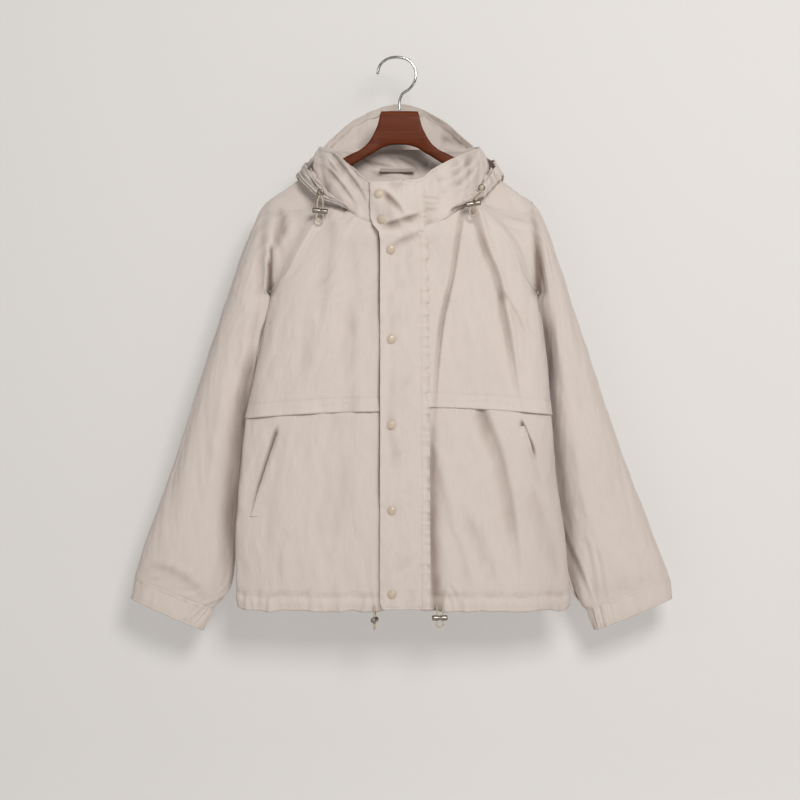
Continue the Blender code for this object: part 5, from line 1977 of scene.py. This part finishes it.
def grown_mesh(name, source, tree, finish, **inputs):
    """Runs a tree on an object and keeps the result as a plain mesh piece; the source is removed."""
    sockets = {item.name: item.identifier for item in tree.interface.items_tree if item.in_out == "INPUT"}
    modifier = source.modifiers.new("grow", "NODES")
    modifier.node_group = tree
    for label, value in {**inputs, "finish": finish}.items():
        modifier[sockets[label.replace("_", " ").title()]] = value
    graph = bpy.context.evaluated_depsgraph_get()
    data = bpy.data.meshes.new_from_object(source.evaluated_get(graph))
    data.name = name
    bpy.data.objects.remove(source)
    data.materials.clear()
    return link_piece(name, data, finish)


# %% [markdown]
# ## Snaps
# Seven domed caps close the placket. They are all alike, so Geometry Nodes put one cap on each of
# seven points, turned to face the way the cloth faces there.

# %% Snaps
SNAP_PROFILE = [
    (0, 0.0),
    (6.6, 0.0),
    (7.2, 0.4),
    (7.3, 1.1),
    (7.0, 1.6),
    (6.5, 1.75),
    (6.1, 1.6),
    (5.8, 1.95),
    (5.0, 2.35),
    (3.6, 2.75),
    (1.8, 2.95),
    (0, 3.0),
]
SNAP_STEPS = 40
SNAP_SEAT = 0.3
SEAT_POINTS = 60
snap_tree, snap_in, snap_out = start_tree("snaps", [("Cap", "Object", None), ("Cap Size", "Float", 1.0)])
cap_info = add_node(snap_tree, "GeometryNodeObjectInfo", object=snap_in.outputs["Cap"])
way = add_node(snap_tree, "GeometryNodeInputNamedAttribute", data_type="FLOAT_VECTOR", name="facing")
aim = add_node(snap_tree, "FunctionNodeAlignRotationToVector", axis="Z", vector=way.outputs["Attribute"])
caps = add_node(
    snap_tree,
    "GeometryNodeInstanceOnPoints",
    points=snap_in.outputs["Geometry"],
    instance=cap_info.outputs["Geometry"],
    rotation=aim.outputs["Rotation"],
    scale=snap_in.outputs["Cap Size"],
)
end_tree(snap_tree, snap_in, snap_out, caps)

cap = link_piece("snap_cap", smooth_mesh("snap_cap", *turned(SNAP_PROFILE, SNAP_STEPS)), snap_finish)
flat = placket_cloth.reshape(-1, 3)
flat_normals = grid_normals(placket_cloth).reshape(-1, 3)
seats = []
ways = []
for x, z in SNAP_PLACES:
    near = np.hypot(flat[:, 0] - x, flat[:, 2] - z).argsort()[:SEAT_POINTS]
    ways.append(flat_normals[near].mean(axis=0))
    seats.append(flat[near].mean(axis=0) + ways[-1] * SNAP_SEAT)
seat_data = smooth_mesh("snap_seats", np.array(seats), [])
facings = seat_data.attributes.new("facing", "FLOAT_VECTOR", "POINT")
facings.data.foreach_set("vector", np.array(ways, np.float32).reshape(-1))
seat = link_piece("snap_seats", seat_data, snap_finish)
snaps = grown_mesh("snap_caps", seat, snap_tree, snap_finish, cap=cap, cap_size=1.0)
bpy.data.objects.remove(cap)
declare(snaps, [f"snap_{number + 1}" for number in range(len(SNAP_PLACES))])
print("snaps have", len(snaps.data.polygons), "faces")

# %% [markdown]
# ## Stitches
# The stitch lines kept above become curves. Geometry Nodes place a small rounded stitch at every
# step along them, turned along the line, with a little random change of length from a fixed seed.

# %% Stitches
STITCH_SEED = 5
STITCH_UNEVEN = (0.82, 1.08)
BEAD_SEGMENTS = 6
BEAD_RINGS = 4
stitch_tree, stitch_in, stitch_out = start_tree(
    "stitches",
    [("Pitch", "Float", 0.0034), ("Stitch Length", "Float", 0.0024), ("Thread", "Float", 0.0006)],
)
steps = add_node(stitch_tree, "GeometryNodeCurveToPoints", mode="LENGTH")
set_node(stitch_tree, steps, curve=stitch_in.outputs["Geometry"], length=stitch_in.outputs["Pitch"])
bead = add_node(stitch_tree, "GeometryNodeMeshUVSphere", radius=0.5)
set_node(stitch_tree, bead, segments=BEAD_SEGMENTS, rings=BEAD_RINGS)
uneven = add_node(stitch_tree, "FunctionNodeRandomValue", data_type="FLOAT", seed=STITCH_SEED)
for socket, value in zip(uneven.inputs[2:4], STITCH_UNEVEN):
    feed(stitch_tree, socket, value)
long = math_node(stitch_tree, "MULTIPLY", stitch_in.outputs["Stitch Length"], uneven.outputs[1])
thread = stitch_in.outputs["Thread"]
sizes = add_node(stitch_tree, "ShaderNodeCombineXYZ", x=thread, y=thread, z=long)
sewn = add_node(
    stitch_tree,
    "GeometryNodeInstanceOnPoints",
    points=steps.outputs["Points"],
    instance=bead.outputs["Mesh"],
    rotation=steps.outputs["Rotation"],
    scale=sizes.outputs["Vector"],
)
end_tree(stitch_tree, stitch_in, stitch_out, sewn)

line_data = bpy.data.curves.new("stitch_lines", "CURVE")
line_data.dimensions = "3D"
for line in stitch_lines:
    spline = line_data.splines.new("POLY")
    spline.points.add(len(line) - 1)
    spline.points.foreach_set("co", np.column_stack([line * MM, np.ones(len(line))]).reshape(-1))
lines = link_piece("stitch_lines", line_data, thread_finish)
stitches = grown_mesh(
    "stitches", lines, stitch_tree, thread_finish, pitch=0.0034, stitch_length=0.0025, thread=0.0006
)
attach(stitches, "root")
print(len(stitch_lines), "stitch lines,", len(stitches.data.polygons), "faces")

# %% [markdown]
# ## Room
# The jacket hangs just in front of a pale wall that runs down into a pale floor. The wall glows a
# little, which is painted light that keeps its shadows pale, and its colour is painted paler to the
# right and darker to the left, as painted light from the right. It is clear from behind, so that
# the jacket's back can be looked at too.

# %% Room
WALL_Y = 99.0
WALL_TOP = 1900.0
FLOOR_Z = -1400.0
FLOOR_FRONT = -4200.0
SWEEP = 260.0
SWEEP_STEPS = 16
ROOM_HALF = 3200.0
ROOM_PAINTED_GLOW = 0.86
SHADE_HALF = 0.7
profile = [(WALL_Y, WALL_TOP)]
for turn in np.linspace(0, math.pi / 2, SWEEP_STEPS):
    profile.append((WALL_Y - SWEEP * (1 - math.cos(turn)), FLOOR_Z + SWEEP * (1 - math.sin(turn))))
profile.append((FLOOR_FRONT, FLOOR_Z))
room_grid = np.array([[(side * ROOM_HALF, y, z) for side in (1, -1)] for y, z in profile])
room_data = smooth_mesh("room", room_grid.reshape(-1, 3), grid_faces(len(profile), 2, False).tolist())
room_finish, tree, shader = start_material("pale_wall_painted_light", roughness=0.95, specular_ior_level=0.1)
place = add_node(tree, "ShaderNodeTexCoord")
axes = add_node(tree, "ShaderNodeSeparateXYZ", vector=place.outputs["Object"])
# painted light: the wall's colour goes from darker on the left to paler on the right
across = add_node(tree, "ShaderNodeMapRange", value=axes.outputs["X"])
set_node(tree, across, from_min=-SHADE_HALF, from_max=SHADE_HALF)
wall_paint_and_painted_light = two_tones(tree, across.outputs["Result"], (0.362, 0.349, 0.337), (0.392, 0.378, 0.363))
# painted light: the wall glows in its own colour
set_node(tree, shader, base_color=wall_paint_and_painted_light, emission_color=wall_paint_and_painted_light, emission_strength=ROOM_PAINTED_GLOW)
behind = add_node(tree, "ShaderNodeNewGeometry").outputs["Backfacing"]
mix = add_node(tree, "ShaderNodeMixShader", fac=behind, shader=shader.outputs["BSDF"])
feed(tree, mix.inputs[2], add_node(tree, "ShaderNodeBsdfTransparent").outputs["BSDF"])
set_node(tree, tree.nodes["Material Output"], surface=mix.outputs["Shader"])
link_piece("room", room_data, room_finish)
print("room of", len(profile), "rows made")

# %% [markdown]
# ## Light
# A large soft light stands high on the right, so soft shadows fall to the lower left, and a wide
# weaker one fills from the left. One more stands behind for the jacket's back.

# %% Light
LIGHT_AIM = Vector((0, 0, -560))
WORLD_COLOUR = (1.0, 0.995, 0.985, 1)
WORLD_STRENGTH = 0.2


def soft_light(name, place, size, watts, colour):
    """A square soft light that points at the jacket."""
    data = bpy.data.lights.new(name, "AREA")
    data.size = size * MM
    data.energy = watts
    data.color = colour
    light = bpy.data.objects.new(name, data)
    light.location = Vector(place) * MM
    light.rotation_euler = (LIGHT_AIM - Vector(place)).to_track_quat("-Z", "Y").to_euler()
    bpy.context.scene.collection.objects.link(light)


soft_light("key", (750, -2950, 850), 1000, 86.5, (1.0, 0.992, 0.98))
soft_light("fill", (-2200, -2600, 200), 2200, 12, (1.0, 1.0, 1.0))
soft_light("behind", (-600, 2600, 900), 2000, 30, (1.0, 1.0, 1.0))
world = bpy.data.worlds.new("studio")
world.use_nodes = True
set_node(world.node_tree, world.node_tree.nodes["Background"], color=WORLD_COLOUR, strength=WORLD_STRENGTH)
bpy.context.scene.world = world
bpy.context.scene.view_settings.view_transform = "Standard"
print("lights made")
